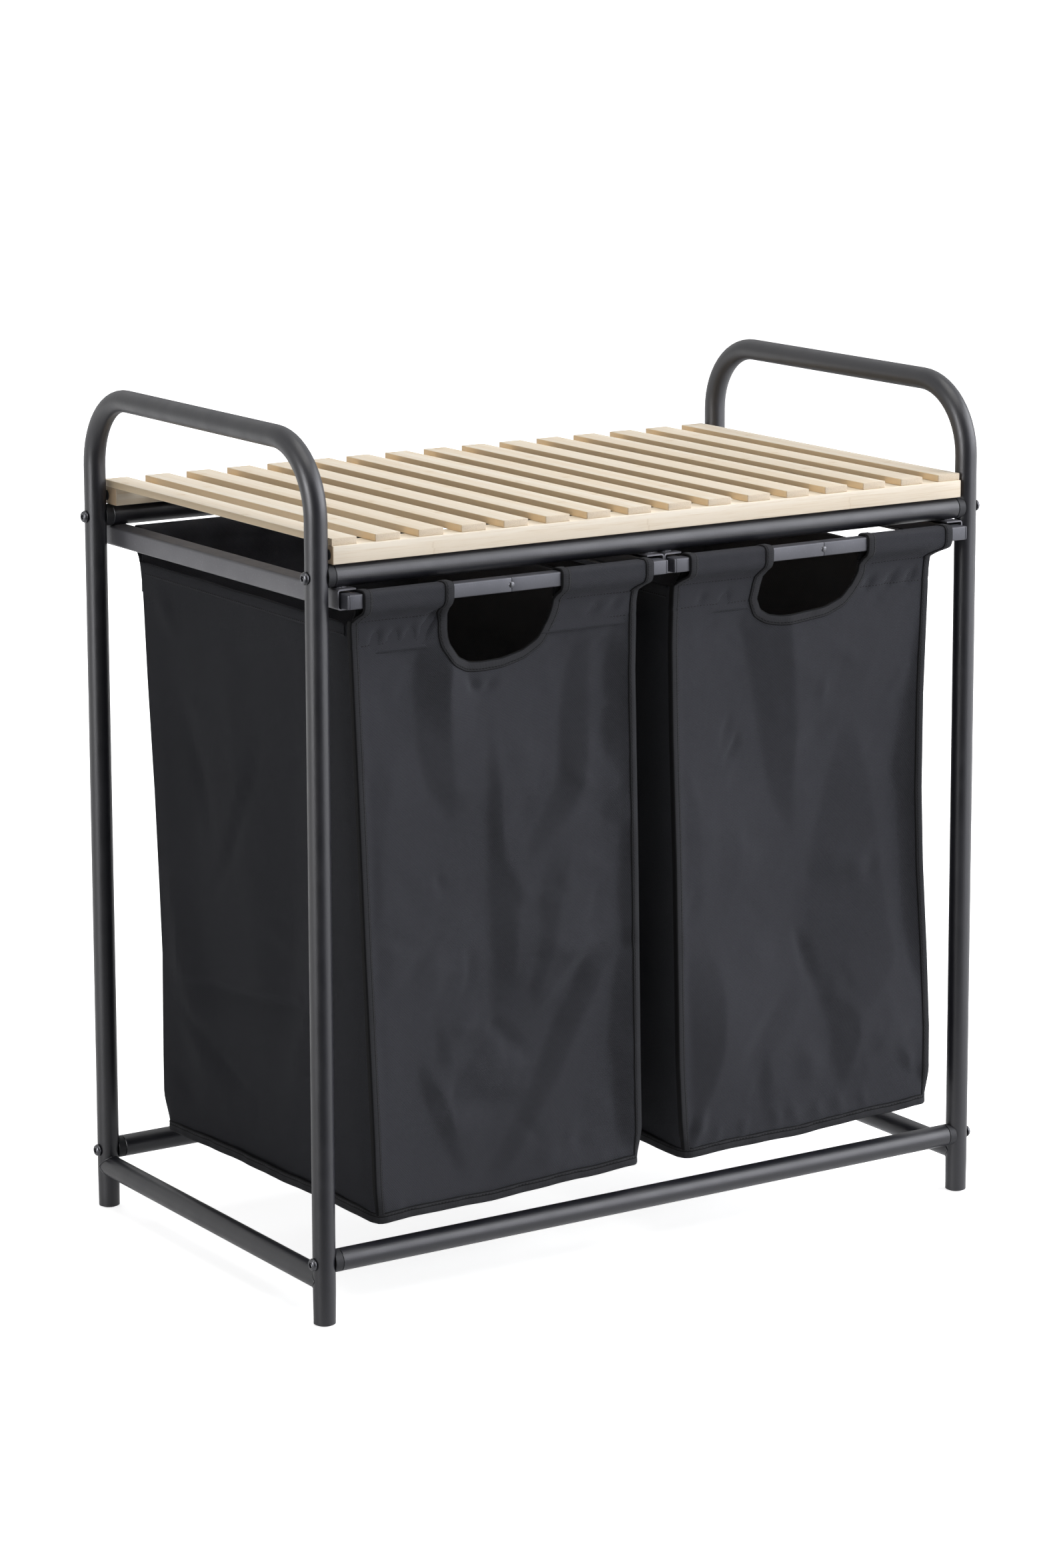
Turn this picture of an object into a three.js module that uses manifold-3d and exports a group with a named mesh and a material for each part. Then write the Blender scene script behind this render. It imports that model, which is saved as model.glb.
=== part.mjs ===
// Laundry hamper: a bent-tube frame with a slatted top and two bag bins that pull out on rails.
// Millimetres, +Z up, X along the hamper, front towards -Y, origin on the floor under the middle
// of the outer box. The pieces are laid out from the middle of the four legs and then moved there.

import * as THREE from 'three';
import { mergeVertices } from 'three/addons/utils/BufferGeometryUtils.js';
import Module from 'manifold-3d';

const wasm = await Module();
wasm.setup();

// Clearances shared by all pieces
const seatGap = 0.3; // between two pieces that rest on or sit in each other
const cutOverrun = 1; // how far a cutting shape runs past the face that it cuts
const weldTolerance = 1e-4; // points closer than this are one point

// Numbers of sides
const tubeSides = 24;
const smallSides = 16;
const boreSides = 12;
const socketSides = 6;
const bendSteps = 10; // rings along each bend of a side frame
const cornerSteps = 1; // half the number of chords in a rounded corner
const domeSteps = 3; // chords from the rim of a dome to the flat on its top
const cutSteps = 6; // chords in each lower corner of the hand cut-out

// Frame tubes
const tubeDiameter = 19;
const tubeWall = 1.2;
const legSpacingX = 658; // leg centre to leg centre along the hamper
const legSpacingY = 379; // front leg centre to rear leg centre
const bottomTubeHeight = 52.5; // from the floor to the centre line of the bottom cross tubes
const sideTubeDrop = 15; // from the bottom cross tubes down to the side tubes
const topTubeHeight = 622; // from the floor to the centre line of the top cross tubes
const handleRise = 106.5; // from the top cross tubes up to the handle
const handleBendRadius = 62;
const ventRadius = 2.5; // hole from a leg into its side tube

// Foot plugs
const footLift = 1; // from the floor to the end of the tube
const footPlugDepth = 14;
const footChamfer = 0.8;

// Bolts and the saddle spacers that they pass through
const boltRadius = 2.9;
const boltHeadRadius = 5.3;
const boltHeadHeight = 3.3;
const boltHeadFlat = 2.2; // radius of the flat on top of the domed head
const boltHeadRim = 0.8; // straight rim under the dome
const socketRadius = 2.3; // corner radius of the hex socket
const socketDepth = 2;
const boltGrip = 12; // length of bolt inside the cross tube
const plugLength = 14; // threaded plug pressed into each end of a cross tube
const spacerReach = 4.3; // from the leg's side to the end of the cross tube
const spacerEar = 4.5; // how far the spacer's ears reach round the leg

// Slatted top
const slatCount = 16;
const slatWidth = 23.4;
const slatThickness = 6;
const slatOverhang = 5.5; // past the centre lines of the top tubes, at each end
const slatEdgeRadius = 1;
const beamHeight = 15;
const beamDepth = 25; // from the outer face inwards
const beamOutset = 7.5; // outer face past the centre lines of the top tubes
const beamEdgeRadius = 1;

// Pegs between the beams and the legs
const pegRadius = 3;
const pegCollarRadius = 6.65;
const pegCollar = 1.5; // thickness of the collar
const pegDowelLength = 15;
const pegPinLength = 6; // past the leg's side, into its bore

// Rails
const railHeight = 17;
const railFlange = 17;
const railSheet = 1.2;
const railBend = 2.5; // outer radius of the bends
const railOverhang = 2.4; // past the top tubes, at each end
const railToLeg = 3.1; // gap from the outer rails to the side of the legs

// Hoops that carry the bags
const barSize = 12; // square tube
const barWall = 1.2;
const barEdgeRadius = 1;
const hoopOverhang = 10.6; // front face ahead of the rails
const stopInset = 25.4; // from the rear of a hoop to the rear end of the rails
const hoopSidePlay = 2; // from each end of a hoop to its rail
const spigotReach = 30; // length of a spigot inside the other half
const spigotRoot = 20; // length of a spigot held in its own half
const spigotWall = 0.8;

// Spring button in the joint of a hoop
const buttonRadius = 2.75;
const buttonProud = 1;
const buttonDome = 0.7; // height of the dome, and its width round the flat
const buttonFlangeRadius = 3.4;
const buttonFlange = 1;
const buttonStemRadius = 1.5;
const buttonTravel = 2.2;

// Bags
const bagWall = 2;
const bagRimDrop = 13.2; // from the rails down to the top hem of the side panels
const bagFloorRise = 22; // from the bottom cross tubes up to the floor of the bag
const bagFrontInset = 12; // front panel behind the front face of the hoop
const bagRearInset = 9; // rear panel ahead of the rear face of the hoop, at the rim
const bagRearTaper = 26; // how much further forward the rear panel is at the floor
const bagSideBulge = 1.5; // how far each side stands out past the sleeves at the rim
const bagSideTaper = 4; // how much narrower each side is at the floor
const sleeveToRail = 1.1;
const cutTopWidth = 100; // hand cut-out at the bar
const cutWidth = 128; // hand cut-out at its widest
const cutFloorWidth = 70; // flat part of its lower edge
const cutShoulder = 16; // from the underside of the bar down to the widest place
const cutDepth = 50; // from the underside of the bar down to the lower edge

// Places worked out from the sizes above
const tubeRadius = tubeDiameter / 2;
const tubeBore = tubeRadius - tubeWall;
const legX = legSpacingX / 2;
const legY = legSpacingY / 2;
const legInner = legX - tubeRadius; // the side of a leg that faces the bins
const crossTubeHalf = legInner - spacerReach;
const sideTubeHeight = bottomTubeHeight - sideTubeDrop;
const handleHeight = topTubeHeight + handleRise;
const boltHole = boltRadius + seatGap;
const beamBase = topTubeHeight + tubeRadius + seatGap;
const slatBase = beamBase + beamHeight;
const topHalf = legInner - seatGap - pegCollar; // from the middle to the end of the slatted top
const slatPitch = (2 * topHalf - slatWidth) / (slatCount - 1);
const slatLength = 2 * (legY + slatOverhang);
const pegHeight = beamBase + beamHeight / 2;
const pegHole = pegRadius + seatGap;
const railTop = topTubeHeight - tubeRadius - seatGap;
const railBase = railTop - railHeight;
const outerWeb = legInner - railToLeg; // back of the web of an outer rail
const middleWeb = seatGap / 2; // back of the web of a middle rail
const binX = (outerWeb + middleWeb) / 2;
const hoopHalf = (outerWeb - middleWeb) / 2 - railSheet - hoopSidePlay;
const barBase = railBase + railSheet + seatGap;
const railHalfLength = legY + tubeRadius + railOverhang;
const hoopFront = railHalfLength + hoopOverhang; // ahead of the middle of the legs
const hoopRear = railHalfLength - stopInset; // behind the middle of the legs
const hoopDepth = hoopFront + hoopRear;
const hoopMiddle = (hoopRear - hoopFront) / 2;
const jointYs = [barSize / 2 - hoopFront, hoopRear - barSize / 2];
const mouthHalf = (outerWeb - middleWeb) / 2 - railFlange; // between the rails of one bin
const sleeveHalf = mouthHalf - sleeveToRail;
const spigotSize = barSize - 2 * barWall - 2 * seatGap;
const spigotBore = spigotSize - 2 * spigotWall;
const jointHole = buttonRadius + seatGap;
const frontReach = hoopFront + seatGap + bagWall; // from the middle of the legs to the sleeves
const bagFront = hoopFront - bagFrontInset; // ahead of the middle of the legs
const bagTopRear = hoopRear - bagRearInset; // behind the middle of the legs, at the rim
const bagFloorRear = bagTopRear - bagRearTaper; // behind the middle of the legs, at the floor
const bagTopHalf = sleeveHalf + bagSideBulge;
const bagFloorHalf = bagTopHalf - bagSideTaper;
const bagRimHeight = railBase - bagRimDrop;
const bagFloorHeight = bottomTubeHeight + tubeRadius + bagFloorRise;

// Materials
const paintedSteel = new THREE.MeshStandardMaterial({ color: 0x2b2d31, roughness: 0.45, metalness: 0.6 });
const sheetSteel = new THREE.MeshStandardMaterial({ color: 0x35373b, roughness: 0.5, metalness: 0.6 });
const blackPlastic = new THREE.MeshStandardMaterial({ color: 0x1e1f21, roughness: 0.65, metalness: 0 });
const boltSteel = new THREE.MeshStandardMaterial({ color: 0x232427, roughness: 0.35, metalness: 0.8 });
const bamboo = new THREE.MeshStandardMaterial({ color: 0xe3c99c, roughness: 0.6, metalness: 0 });
const blackFabric = new THREE.MeshStandardMaterial({ color: 0x1b1c1f, roughness: 0.95, metalness: 0 });

// Turns a three.js geometry into a solid that can be joined and cut
function solid(geometry) {
  const bare = geometry.clone();
  bare.deleteAttribute('normal');
  bare.deleteAttribute('uv');
  const merged = mergeVertices(bare, weldTolerance);
  return new wasm.Manifold(new wasm.Mesh({
    numProp: 3,
    vertProperties: merged.attributes.position.array,
    triVerts: Uint32Array.from(merged.index.array),
  }));
}

// Turns a joined or cut solid back into a geometry
function geometryOf(shape) {
  const mesh = shape.getMesh();
  const geometry = new THREE.BufferGeometry();
  geometry.setAttribute('position', new THREE.BufferAttribute(mesh.vertProperties, mesh.numProp));
  geometry.setIndex(new THREE.BufferAttribute(mesh.triVerts, 1));
  geometry.computeVertexNormals();
  return geometry;
}

// A named mesh, placed in its group and turned about the vertical
function place(group, name, geometry, material, position = [0, 0, 0], turn = 0) {
  const mesh = new THREE.Mesh(geometry, material);
  mesh.name = name;
  mesh.position.set(...position);
  mesh.rotation.z = turn;
  group.add(mesh);
}

// A regular outline with its corners on a circle
function roundOutline(radius, sides) {
  const points = [];
  for (let i = 0; i < sides; i += 1) {
    const angle = (2 * Math.PI * i) / sides;
    points.push(new THREE.Vector2(radius * Math.cos(angle), radius * Math.sin(angle)));
  }
  return new THREE.Shape(points);
}

// A rectangle centred on zero, its corners rounded where a radius is given
function rectangleOutline(width, height, radius = 0) {
  const x = width / 2 - radius;
  const y = height / 2 - radius;
  const shape = new THREE.Shape();
  if (radius === 0) return shape.moveTo(x, y).lineTo(-x, y).lineTo(-x, -y).lineTo(x, -y);
  shape.absarc(x, y, radius, 0, Math.PI / 2);
  shape.absarc(-x, y, radius, Math.PI / 2, Math.PI);
  shape.absarc(-x, -y, radius, Math.PI, 1.5 * Math.PI);
  shape.absarc(x, -y, radius, 1.5 * Math.PI, 2 * Math.PI);
  return shape;
}

// An outline pushed along Z and centred, then laid along the X or Y axis
function bar(outline, length, axis, steps = cornerSteps) {
  const geometry = new THREE.ExtrudeGeometry(outline, {
    depth: length,
    bevelEnabled: false,
    curveSegments: steps,
  });
  geometry.translate(0, 0, -length / 2);
  if (axis === 'x') geometry.rotateX(Math.PI / 2).rotateZ(Math.PI / 2);
  if (axis === 'y') geometry.rotateX(Math.PI / 2);
  return geometry;
}

// A round rod between two places on an axis through the given point
function rod(radius, from, to, axis, at = [0, 0, 0], sides = smallSides) {
  const geometry = bar(roundOutline(radius, sides), to - from, axis);
  const middle = (from + to) / 2;
  const along = { x: [middle, 0, 0], y: [0, middle, 0], z: [0, 0, middle] }[axis];
  return solid(geometry.translate(...along).translate(...at));
}

// A block between its low and high corners
function block(low, high) {
  const size = high.map((value, i) => value - low[i]);
  const middle = high.map((value, i) => (value + low[i]) / 2);
  return solid(new THREE.BoxGeometry(...size).translate(...middle));
}

// A block whose floor and top differ in size, each given by its low and high corner
function taperedBlock(floorLow, floorHigh, topLow, topHigh) {
  const geometry = new THREE.BoxGeometry(1, 1, 1);
  const points = geometry.attributes.position;
  for (let i = 0; i < points.count; i += 1) {
    const [low, high] = points.getZ(i) > 0 ? [topLow, topHigh] : [floorLow, floorHigh];
    const x = points.getX(i) > 0 ? high[0] : low[0];
    const y = points.getY(i) > 0 ? high[1] : low[1];
    points.setXYZ(i, x, y, low[2]);
  }
  return solid(geometry);
}

// Profile of a dome: from the axis over a flat to its rim, its top at one height and its rim at another
function dome(flat, radius, topAt, rimAt) {
  const points = [[0, topAt]];
  for (let i = 0; i <= domeSteps; i += 1) {
    const angle = (Math.PI / 2) * (i / domeSteps);
    const across = flat + (radius - flat) * Math.sin(angle);
    points.push([across, rimAt + (topAt - rimAt) * Math.cos(angle)]);
  }
  return points;
}

// A turned piece: the profile lists [radius, height] from the axis to the axis, laid along X
function turned(profile) {
  const points = profile.map(([radius, height]) => new THREE.Vector2(radius, height));
  return new THREE.LatheGeometry(points, smallSides).rotateZ(-Math.PI / 2);
}

// The centre line of a side frame: front leg, bend, handle, bend, rear leg
class SideFramePath extends THREE.Curve {
  constructor(legEnd) {
    super();
    const bendY = legY - handleBendRadius;
    const bendZ = handleHeight - handleBendRadius;
    this.stations = [[new THREE.Vector3(0, -legY, legEnd), 0]];
    for (const side of [-1, 1]) {
      for (let i = 0; i <= bendSteps; i += 1) {
        const turn = (Math.PI / 2) * (i / bendSteps + (side > 0 ? 1 : 0));
        const y = side * bendY - handleBendRadius * Math.cos(turn);
        const z = bendZ + handleBendRadius * Math.sin(turn);
        this.stations.push([new THREE.Vector3(0, y, z), turn]);
      }
    }
    this.stations.push([new THREE.Vector3(0, legY, legEnd), Math.PI]);
  }

  stationAt(u) {
    return this.stations[Math.round(u * (this.stations.length - 1))];
  }

  getPointAt(u) {
    return this.stationAt(u)[0].clone();
  }

  getTangentAt(u) {
    const turn = this.stationAt(u)[1];
    return new THREE.Vector3(0, Math.sin(turn), Math.cos(turn));
  }
}

// A solid rod of the given radius along the centre line of a side frame
function bentRod(radius, legEnd, sides) {
  const path = new SideFramePath(legEnd);
  return solid(new THREE.ExtrudeGeometry(roundOutline(radius, sides), {
    steps: path.stations.length - 1,
    extrudePath: path,
  }));
}

// Left side frame, centred on its legs: bent tube, welded side tube, bolt and peg holes
function sideFrame() {
  const sideAxis = [0, 0, sideTubeHeight];
  const boreHalf = legY - tubeRadius;
  let frame = bentRod(tubeRadius, footLift, tubeSides)
    .add(rod(tubeRadius, -legY, legY, 'y', sideAxis, tubeSides))
    .subtract(bentRod(tubeBore, footLift - cutOverrun, boreSides))
    .subtract(rod(tubeBore, -boreHalf, boreHalf, 'y', sideAxis, boreSides))
    .subtract(rod(ventRadius, -legY, legY, 'y', sideAxis, boreSides));
  const reach = tubeRadius + cutOverrun;
  for (const y of [-legY, legY]) {
    frame = frame.subtract(rod(pegHole, 0, reach, 'x', [0, y, pegHeight], boreSides));
    for (const z of [bottomTubeHeight, topTubeHeight]) {
      frame = frame.subtract(rod(boltHole, -reach, reach, 'x', [0, y, z], boreSides));
    }
  }
  return geometryOf(frame);
}

// Plug in the end of a leg, standing on the floor
function footPlug() {
  const radius = tubeBore - seatGap;
  const profile = [
    [0, 0],
    [radius - footChamfer, 0],
    [radius, footChamfer],
    [radius, footLift + footPlugDepth],
    [0, footLift + footPlugDepth],
  ];
  return turned(profile).rotateY(-Math.PI / 2);
}

// Cross tube with a threaded plug in each end
function crossTube() {
  const boreHalf = crossTubeHalf - plugLength;
  const holeHalf = crossTubeHalf + cutOverrun;
  return geometryOf(
    rod(tubeRadius, -crossTubeHalf, crossTubeHalf, 'x', [0, 0, 0], tubeSides)
      .subtract(rod(tubeBore, -boreHalf, boreHalf, 'x', [0, 0, 0], boreSides))
      .subtract(rod(boltHole, -holeHalf, holeHalf, 'x', [0, 0, 0], boreSides)),
  );
}

// Saddle spacer on the right-hand side of a leg whose axis is at zero
function saddleSpacer() {
  const from = tubeRadius - spacerEar;
  const to = tubeRadius + spacerReach - seatGap;
  const legReach = tubeRadius + cutOverrun;
  return geometryOf(
    rod(tubeRadius, from, to, 'x', [0, 0, 0], tubeSides)
      .subtract(rod(tubeRadius + seatGap, -legReach, legReach, 'z', [0, 0, 0], tubeSides))
      .subtract(rod(boltHole, 0, to + cutOverrun, 'x', [0, 0, 0], boreSides)),
  );
}

// Button-head bolt along X: the head looks towards -X and its underside is at zero
function bolt() {
  const shank = tubeDiameter + seatGap + spacerReach + boltGrip;
  const profile = [
    ...dome(boltHeadFlat, boltHeadRadius, -boltHeadHeight, -boltHeadRim),
    [boltHeadRadius, 0],
    [boltRadius, 0],
    [boltRadius, shank],
    [0, shank],
  ];
  const from = -boltHeadHeight - cutOverrun;
  const socket = rod(socketRadius, from, socketDepth - boltHeadHeight, 'x', [0, 0, 0], socketSides);
  return geometryOf(solid(turned(profile)).subtract(socket));
}

// Beam of the slatted top, bored at both ends for the pegs. It reaches further inwards than
// outwards from the pegs, which stay in line with the legs
function beam() {
  const outline = rectangleOutline(beamDepth, beamHeight, beamEdgeRadius);
  const inwards = beamDepth / 2 - beamOutset;
  const wood = solid(bar(outline, 2 * topHalf, 'x').translate(0, inwards, 0));
  const from = topHalf - pegDowelLength - seatGap;
  const to = topHalf + cutOverrun;
  return geometryOf(
    wood
      .subtract(rod(pegHole, -to, -from, 'x', [0, 0, 0], boreSides))
      .subtract(rod(pegHole, from, to, 'x', [0, 0, 0], boreSides)),
  );
}

// Peg along X: dowel in the beam towards +X, collar, and a pin in the leg towards -X
function peg() {
  return turned([
    [0, -pegPinLength],
    [pegRadius, -pegPinLength],
    [pegRadius, 0],
    [pegCollarRadius, 0],
    [pegCollarRadius, pegCollar],
    [pegRadius, pegCollar],
    [pegRadius, pegCollar + pegDowelLength],
    [0, pegCollar + pegDowelLength],
  ]);
}

// Rail of bent sheet: the back of its web is at zero and it opens towards +X
function rail() {
  const outline = new THREE.Shape();
  const inner = railBend - railSheet;
  const topBend = railHeight - railBend;
  outline.moveTo(railFlange, 0);
  outline.absarc(railBend, railBend, railBend, 1.5 * Math.PI, Math.PI, true);
  outline.absarc(railBend, topBend, railBend, Math.PI, Math.PI / 2, true);
  outline.lineTo(railFlange, railHeight);
  outline.lineTo(railFlange, railHeight - railSheet);
  outline.absarc(railBend, topBend, inner, Math.PI / 2, Math.PI, false);
  outline.absarc(railBend, railBend, inner, Math.PI, 1.5 * Math.PI, false);
  outline.lineTo(railFlange, railSheet);
  const channel = solid(bar(outline, 2 * railHalfLength, 'y'));
  const tabFrom = hoopRear + seatGap;
  const tab = block(
    [railSheet / 2, tabFrom, railSheet / 2],
    [railFlange - railSheet, tabFrom + railSheet, railHeight - railSheet / 2],
  );
  return geometryOf(channel.add(tab));
}

// Half a hoop as a solid U of square rod, from one joint round to the other
function hoopRod(side, outline, inset, jointFace) {
  const crossLength = hoopHalf - inset - jointFace;
  const crossX = side * (jointFace + crossLength / 2);
  const runnerX = side * (hoopHalf - barSize / 2);
  const cross = solid(bar(outline, crossLength, 'x').translate(crossX, 0, 0));
  const runner = bar(outline, hoopDepth - 2 * inset, 'y').translate(runnerX, hoopMiddle, 0);
  return jointYs.reduce((shape, y) => shape.add(cross.translate(0, y, 0)), solid(runner));
}

// Half of a hoop in square tube: the left half for side -1, the right half with both spigots for side 1
function hoopPiece(side) {
  const boreSize = barSize - 2 * barWall;
  let tube = hoopRod(side, rectangleOutline(barSize, barSize, barEdgeRadius), 0, seatGap / 2)
    .subtract(hoopRod(side, rectangleOutline(boreSize, boreSize), barWall, -cutOverrun));
  if (side > 0) {
    for (const y of jointYs) {
      const root = bar(rectangleOutline(boreSize, boreSize), spigotRoot - seatGap / 2, 'x');
      const spigot = bar(rectangleOutline(spigotSize, spigotSize), spigotRoot + spigotReach, 'x');
      const bore = bar(rectangleOutline(spigotBore, spigotBore), 2 * (spigotRoot + spigotReach), 'x');
      tube = tube
        .add(solid(root.translate((spigotRoot + seatGap / 2) / 2, y, 0)))
        .add(solid(spigot.translate((spigotRoot - spigotReach) / 2, y, 0)))
        .subtract(solid(bore.translate(0, y, 0)));
    }
  }
  const buttonHole = rod(jointHole, -hoopFront - cutOverrun, -hoopFront + barSize / 2, 'y');
  return geometryOf(tube.subtract(buttonHole));
}

// Spring button along Y, its dome towards -Y; the front face of the bar is at zero
function springButton() {
  const wallInside = barWall + seatGap + spigotWall;
  const flangeFrom = wallInside + seatGap / 2;
  const stemEnd = wallInside + spigotBore - buttonTravel - seatGap;
  const profile = [
    ...dome(buttonRadius - buttonDome, buttonRadius, -buttonProud, buttonDome - buttonProud),
    [buttonRadius, flangeFrom],
    [buttonFlangeRadius, flangeFrom],
    [buttonFlangeRadius, flangeFrom + buttonFlange],
    [buttonStemRadius, flangeFrom + buttonFlange],
    [buttonStemRadius, stemEnd],
    [0, stemEnd],
  ];
  return turned(profile).rotateZ(Math.PI / 2);
}

// Sleeve of the bag round a bar of the hoop whose middle is at the given Y
function sleeve(y) {
  const inner = barSize / 2 + seatGap;
  const outer = inner + bagWall;
  const z = barBase + barSize / 2;
  const reach = sleeveHalf + cutOverrun;
  return block([-sleeveHalf, y - outer, z - outer], [sleeveHalf, y + outer, z + outer])
    .subtract(block([-reach, y - inner, z - inner], [reach, y + inner, z + inner]));
}

// Hand cut-out through the front sleeve and the top of the front panel
function handCut() {
  const outline = new THREE.Shape();
  const top = barBase + barSize + bagWall + cutOverrun;
  const wide = barBase - cutShoulder;
  const low = barBase - cutDepth;
  outline.moveTo(cutFloorWidth / 2, low);
  outline.quadraticCurveTo(cutWidth / 2, low, cutWidth / 2, wide);
  outline.lineTo(cutTopWidth / 2, barBase);
  outline.lineTo(cutTopWidth / 2, top);
  outline.lineTo(-cutTopWidth / 2, top);
  outline.lineTo(-cutTopWidth / 2, barBase);
  outline.lineTo(-cutWidth / 2, wide);
  outline.quadraticCurveTo(-cutWidth / 2, low, -cutFloorWidth / 2, low);
  const length = 2 * (hoopFront - bagFront + barSize);
  return solid(bar(outline, length, 'y', cutSteps).translate(0, -bagFront, 0));
}

// Bag: tapered panels, floor, sleeves over both bars and the hand cut-out
function bag() {
  const outer = taperedBlock(
    [-bagFloorHalf, -bagFront, bagFloorHeight],
    [bagFloorHalf, bagFloorRear, bagFloorHeight],
    [-bagTopHalf, -bagFront, bagRimHeight],
    [bagTopHalf, bagTopRear, bagRimHeight],
  );
  const hollowTop = bagRimHeight + cutOverrun;
  const hollow = taperedBlock(
    [bagWall - bagFloorHalf, bagWall - bagFront, bagFloorHeight + bagWall],
    [bagFloorHalf - bagWall, bagFloorRear - bagWall, bagFloorHeight + bagWall],
    [bagWall - bagTopHalf, bagWall - bagFront, hollowTop],
    [bagTopHalf - bagWall, bagTopRear - bagWall, hollowTop],
  );
  const sleeveLow = barBase - seatGap;
  const rise = bagRimHeight - bagWall;
  const frontStrip = block([-sleeveHalf, -bagFront, rise], [sleeveHalf, bagWall - bagFront, sleeveLow]);
  const rearStrip = block([-sleeveHalf, bagTopRear - bagWall, rise], [sleeveHalf, bagTopRear, sleeveLow]);
  const cloth = outer
    .subtract(hollow)
    .add(frontStrip)
    .add(rearStrip)
    .add(sleeve(jointYs[0]))
    .add(sleeve(jointYs[1]));
  return geometryOf(cloth.subtract(handCut()));
}

// The object
const hamper = new THREE.Group();
hamper.position.y = (frontReach - railHalfLength) / 2;
const ends = { front: -1, rear: 1 };
const sides = { left: -1, right: 1 };
const turnFor = { left: 0, right: Math.PI };

// Side frames with their foot plugs
const sideFrameShape = sideFrame();
const footPlugShape = footPlug();
for (const [side, sx] of Object.entries(sides)) {
  place(hamper, `side_frame_${side}`, sideFrameShape, paintedSteel, [sx * legX, 0, 0], turnFor[side]);
  for (const [end, sy] of Object.entries(ends)) {
    place(hamper, `foot_plug_${end}_${side}`, footPlugShape, blackPlastic, [sx * legX, sy * legY, 0]);
  }
}

// Cross tubes with their spacers and bolts
const crossTubeShape = crossTube();
const spacerShape = saddleSpacer();
const boltShape = bolt();
const levels = { top: topTubeHeight, bottom: bottomTubeHeight };
for (const [level, z] of Object.entries(levels)) {
  for (const [end, sy] of Object.entries(ends)) {
    place(hamper, `${level}_tube_${end}`, crossTubeShape, paintedSteel, [0, sy * legY, z]);
    for (const [side, sx] of Object.entries(sides)) {
      const where = `${level}_${end}_${side}`;
      const headX = sx * (legX + tubeRadius + seatGap);
      place(hamper, `spacer_${where}`, spacerShape, blackPlastic, [sx * legX, sy * legY, z], turnFor[side]);
      place(hamper, `bolt_${where}`, boltShape, boltSteel, [headX, sy * legY, z], turnFor[side]);
    }
  }
}

// Slatted top on its beams and pegs
const slattedTop = new THREE.Group();
hamper.add(slattedTop);
const beamShape = beam();
const pegShape = peg();
for (const [end, sy] of Object.entries(ends)) {
  place(slattedTop, `beam_${end}`, beamShape, bamboo, [0, sy * legY, pegHeight], sy > 0 ? Math.PI : 0);
  for (const [side, sx] of Object.entries(sides)) {
    const pegPlace = [sx * (legInner - seatGap), sy * legY, pegHeight];
    place(slattedTop, `beam_peg_${end}_${side}`, pegShape, blackPlastic, pegPlace, turnFor[side]);
  }
}
const slatShape = bar(rectangleOutline(slatWidth, slatThickness, slatEdgeRadius), slatLength, 'y');
for (let i = 0; i < slatCount; i += 1) {
  const x = (i - (slatCount - 1) / 2) * slatPitch;
  const name = `slat_${String(i + 1).padStart(2, '0')}`;
  place(slattedTop, name, slatShape, bamboo, [x, 0, slatBase + slatThickness / 2]);
}

// Rails: one beside each side frame and two back to back in the middle
const opensRight = rail();
const opensLeft = opensRight.clone().rotateY(Math.PI).translate(0, 0, railHeight);
place(hamper, 'rail_left_outer', opensRight, sheetSteel, [-outerWeb, 0, railBase]);
place(hamper, 'rail_left_inner', opensLeft, sheetSteel, [-middleWeb, 0, railBase]);
place(hamper, 'rail_right_inner', opensRight, sheetSteel, [middleWeb, 0, railBase]);
place(hamper, 'rail_right_outer', opensLeft, sheetSteel, [outerWeb, 0, railBase]);

// Bins: a hoop of two halves, the button of its joint, and the bag
const socketHalf = hoopPiece(-1);
const spigotHalf = hoopPiece(1);
const buttonShape = springButton();
const bagShape = bag();
const barMiddle = barBase + barSize / 2;
for (const [side, sx] of Object.entries(sides)) {
  const bin = new THREE.Group();
  bin.position.x = sx * binX;
  place(bin, `${side}_bin_hoop_socket_half`, socketHalf, sheetSteel, [0, 0, barMiddle]);
  place(bin, `${side}_bin_hoop_spigot_half`, spigotHalf, sheetSteel, [0, 0, barMiddle]);
  place(bin, `${side}_bin_hoop_button`, buttonShape, boltSteel, [0, -hoopFront, barMiddle]);
  place(bin, `${side}_bin_bag`, bagShape, blackFabric);
  hamper.add(bin);
}

export default hamper;
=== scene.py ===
import math

import bmesh
import bpy
import numpy as np
from bpy.props import FloatProperty, FloatVectorProperty, PointerProperty
from mathutils import Matrix, Vector


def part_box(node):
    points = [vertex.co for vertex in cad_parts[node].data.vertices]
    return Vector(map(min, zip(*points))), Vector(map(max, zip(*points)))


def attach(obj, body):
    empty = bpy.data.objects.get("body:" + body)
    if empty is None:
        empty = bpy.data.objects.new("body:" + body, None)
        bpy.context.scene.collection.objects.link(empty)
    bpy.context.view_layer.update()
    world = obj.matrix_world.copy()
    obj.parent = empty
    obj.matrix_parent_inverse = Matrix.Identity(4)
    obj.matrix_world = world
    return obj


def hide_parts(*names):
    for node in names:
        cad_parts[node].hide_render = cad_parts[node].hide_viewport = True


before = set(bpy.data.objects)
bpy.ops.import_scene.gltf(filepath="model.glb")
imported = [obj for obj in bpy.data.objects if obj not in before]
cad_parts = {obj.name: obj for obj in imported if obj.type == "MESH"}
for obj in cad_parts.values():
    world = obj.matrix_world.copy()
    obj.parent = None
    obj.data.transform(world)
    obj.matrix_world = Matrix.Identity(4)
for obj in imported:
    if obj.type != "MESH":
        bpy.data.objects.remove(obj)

bl_info = {
    "name": "Two-bin laundry hamper",
    "version": (1, 0, 0),
    "blender": (4, 5, 0),
    "location": "View3D > Sidebar > Hamper",
    "description": "Detailed surfaces and finishes for a laundry hamper with two pull-out bins",
    "category": "Add Mesh",
}

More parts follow.
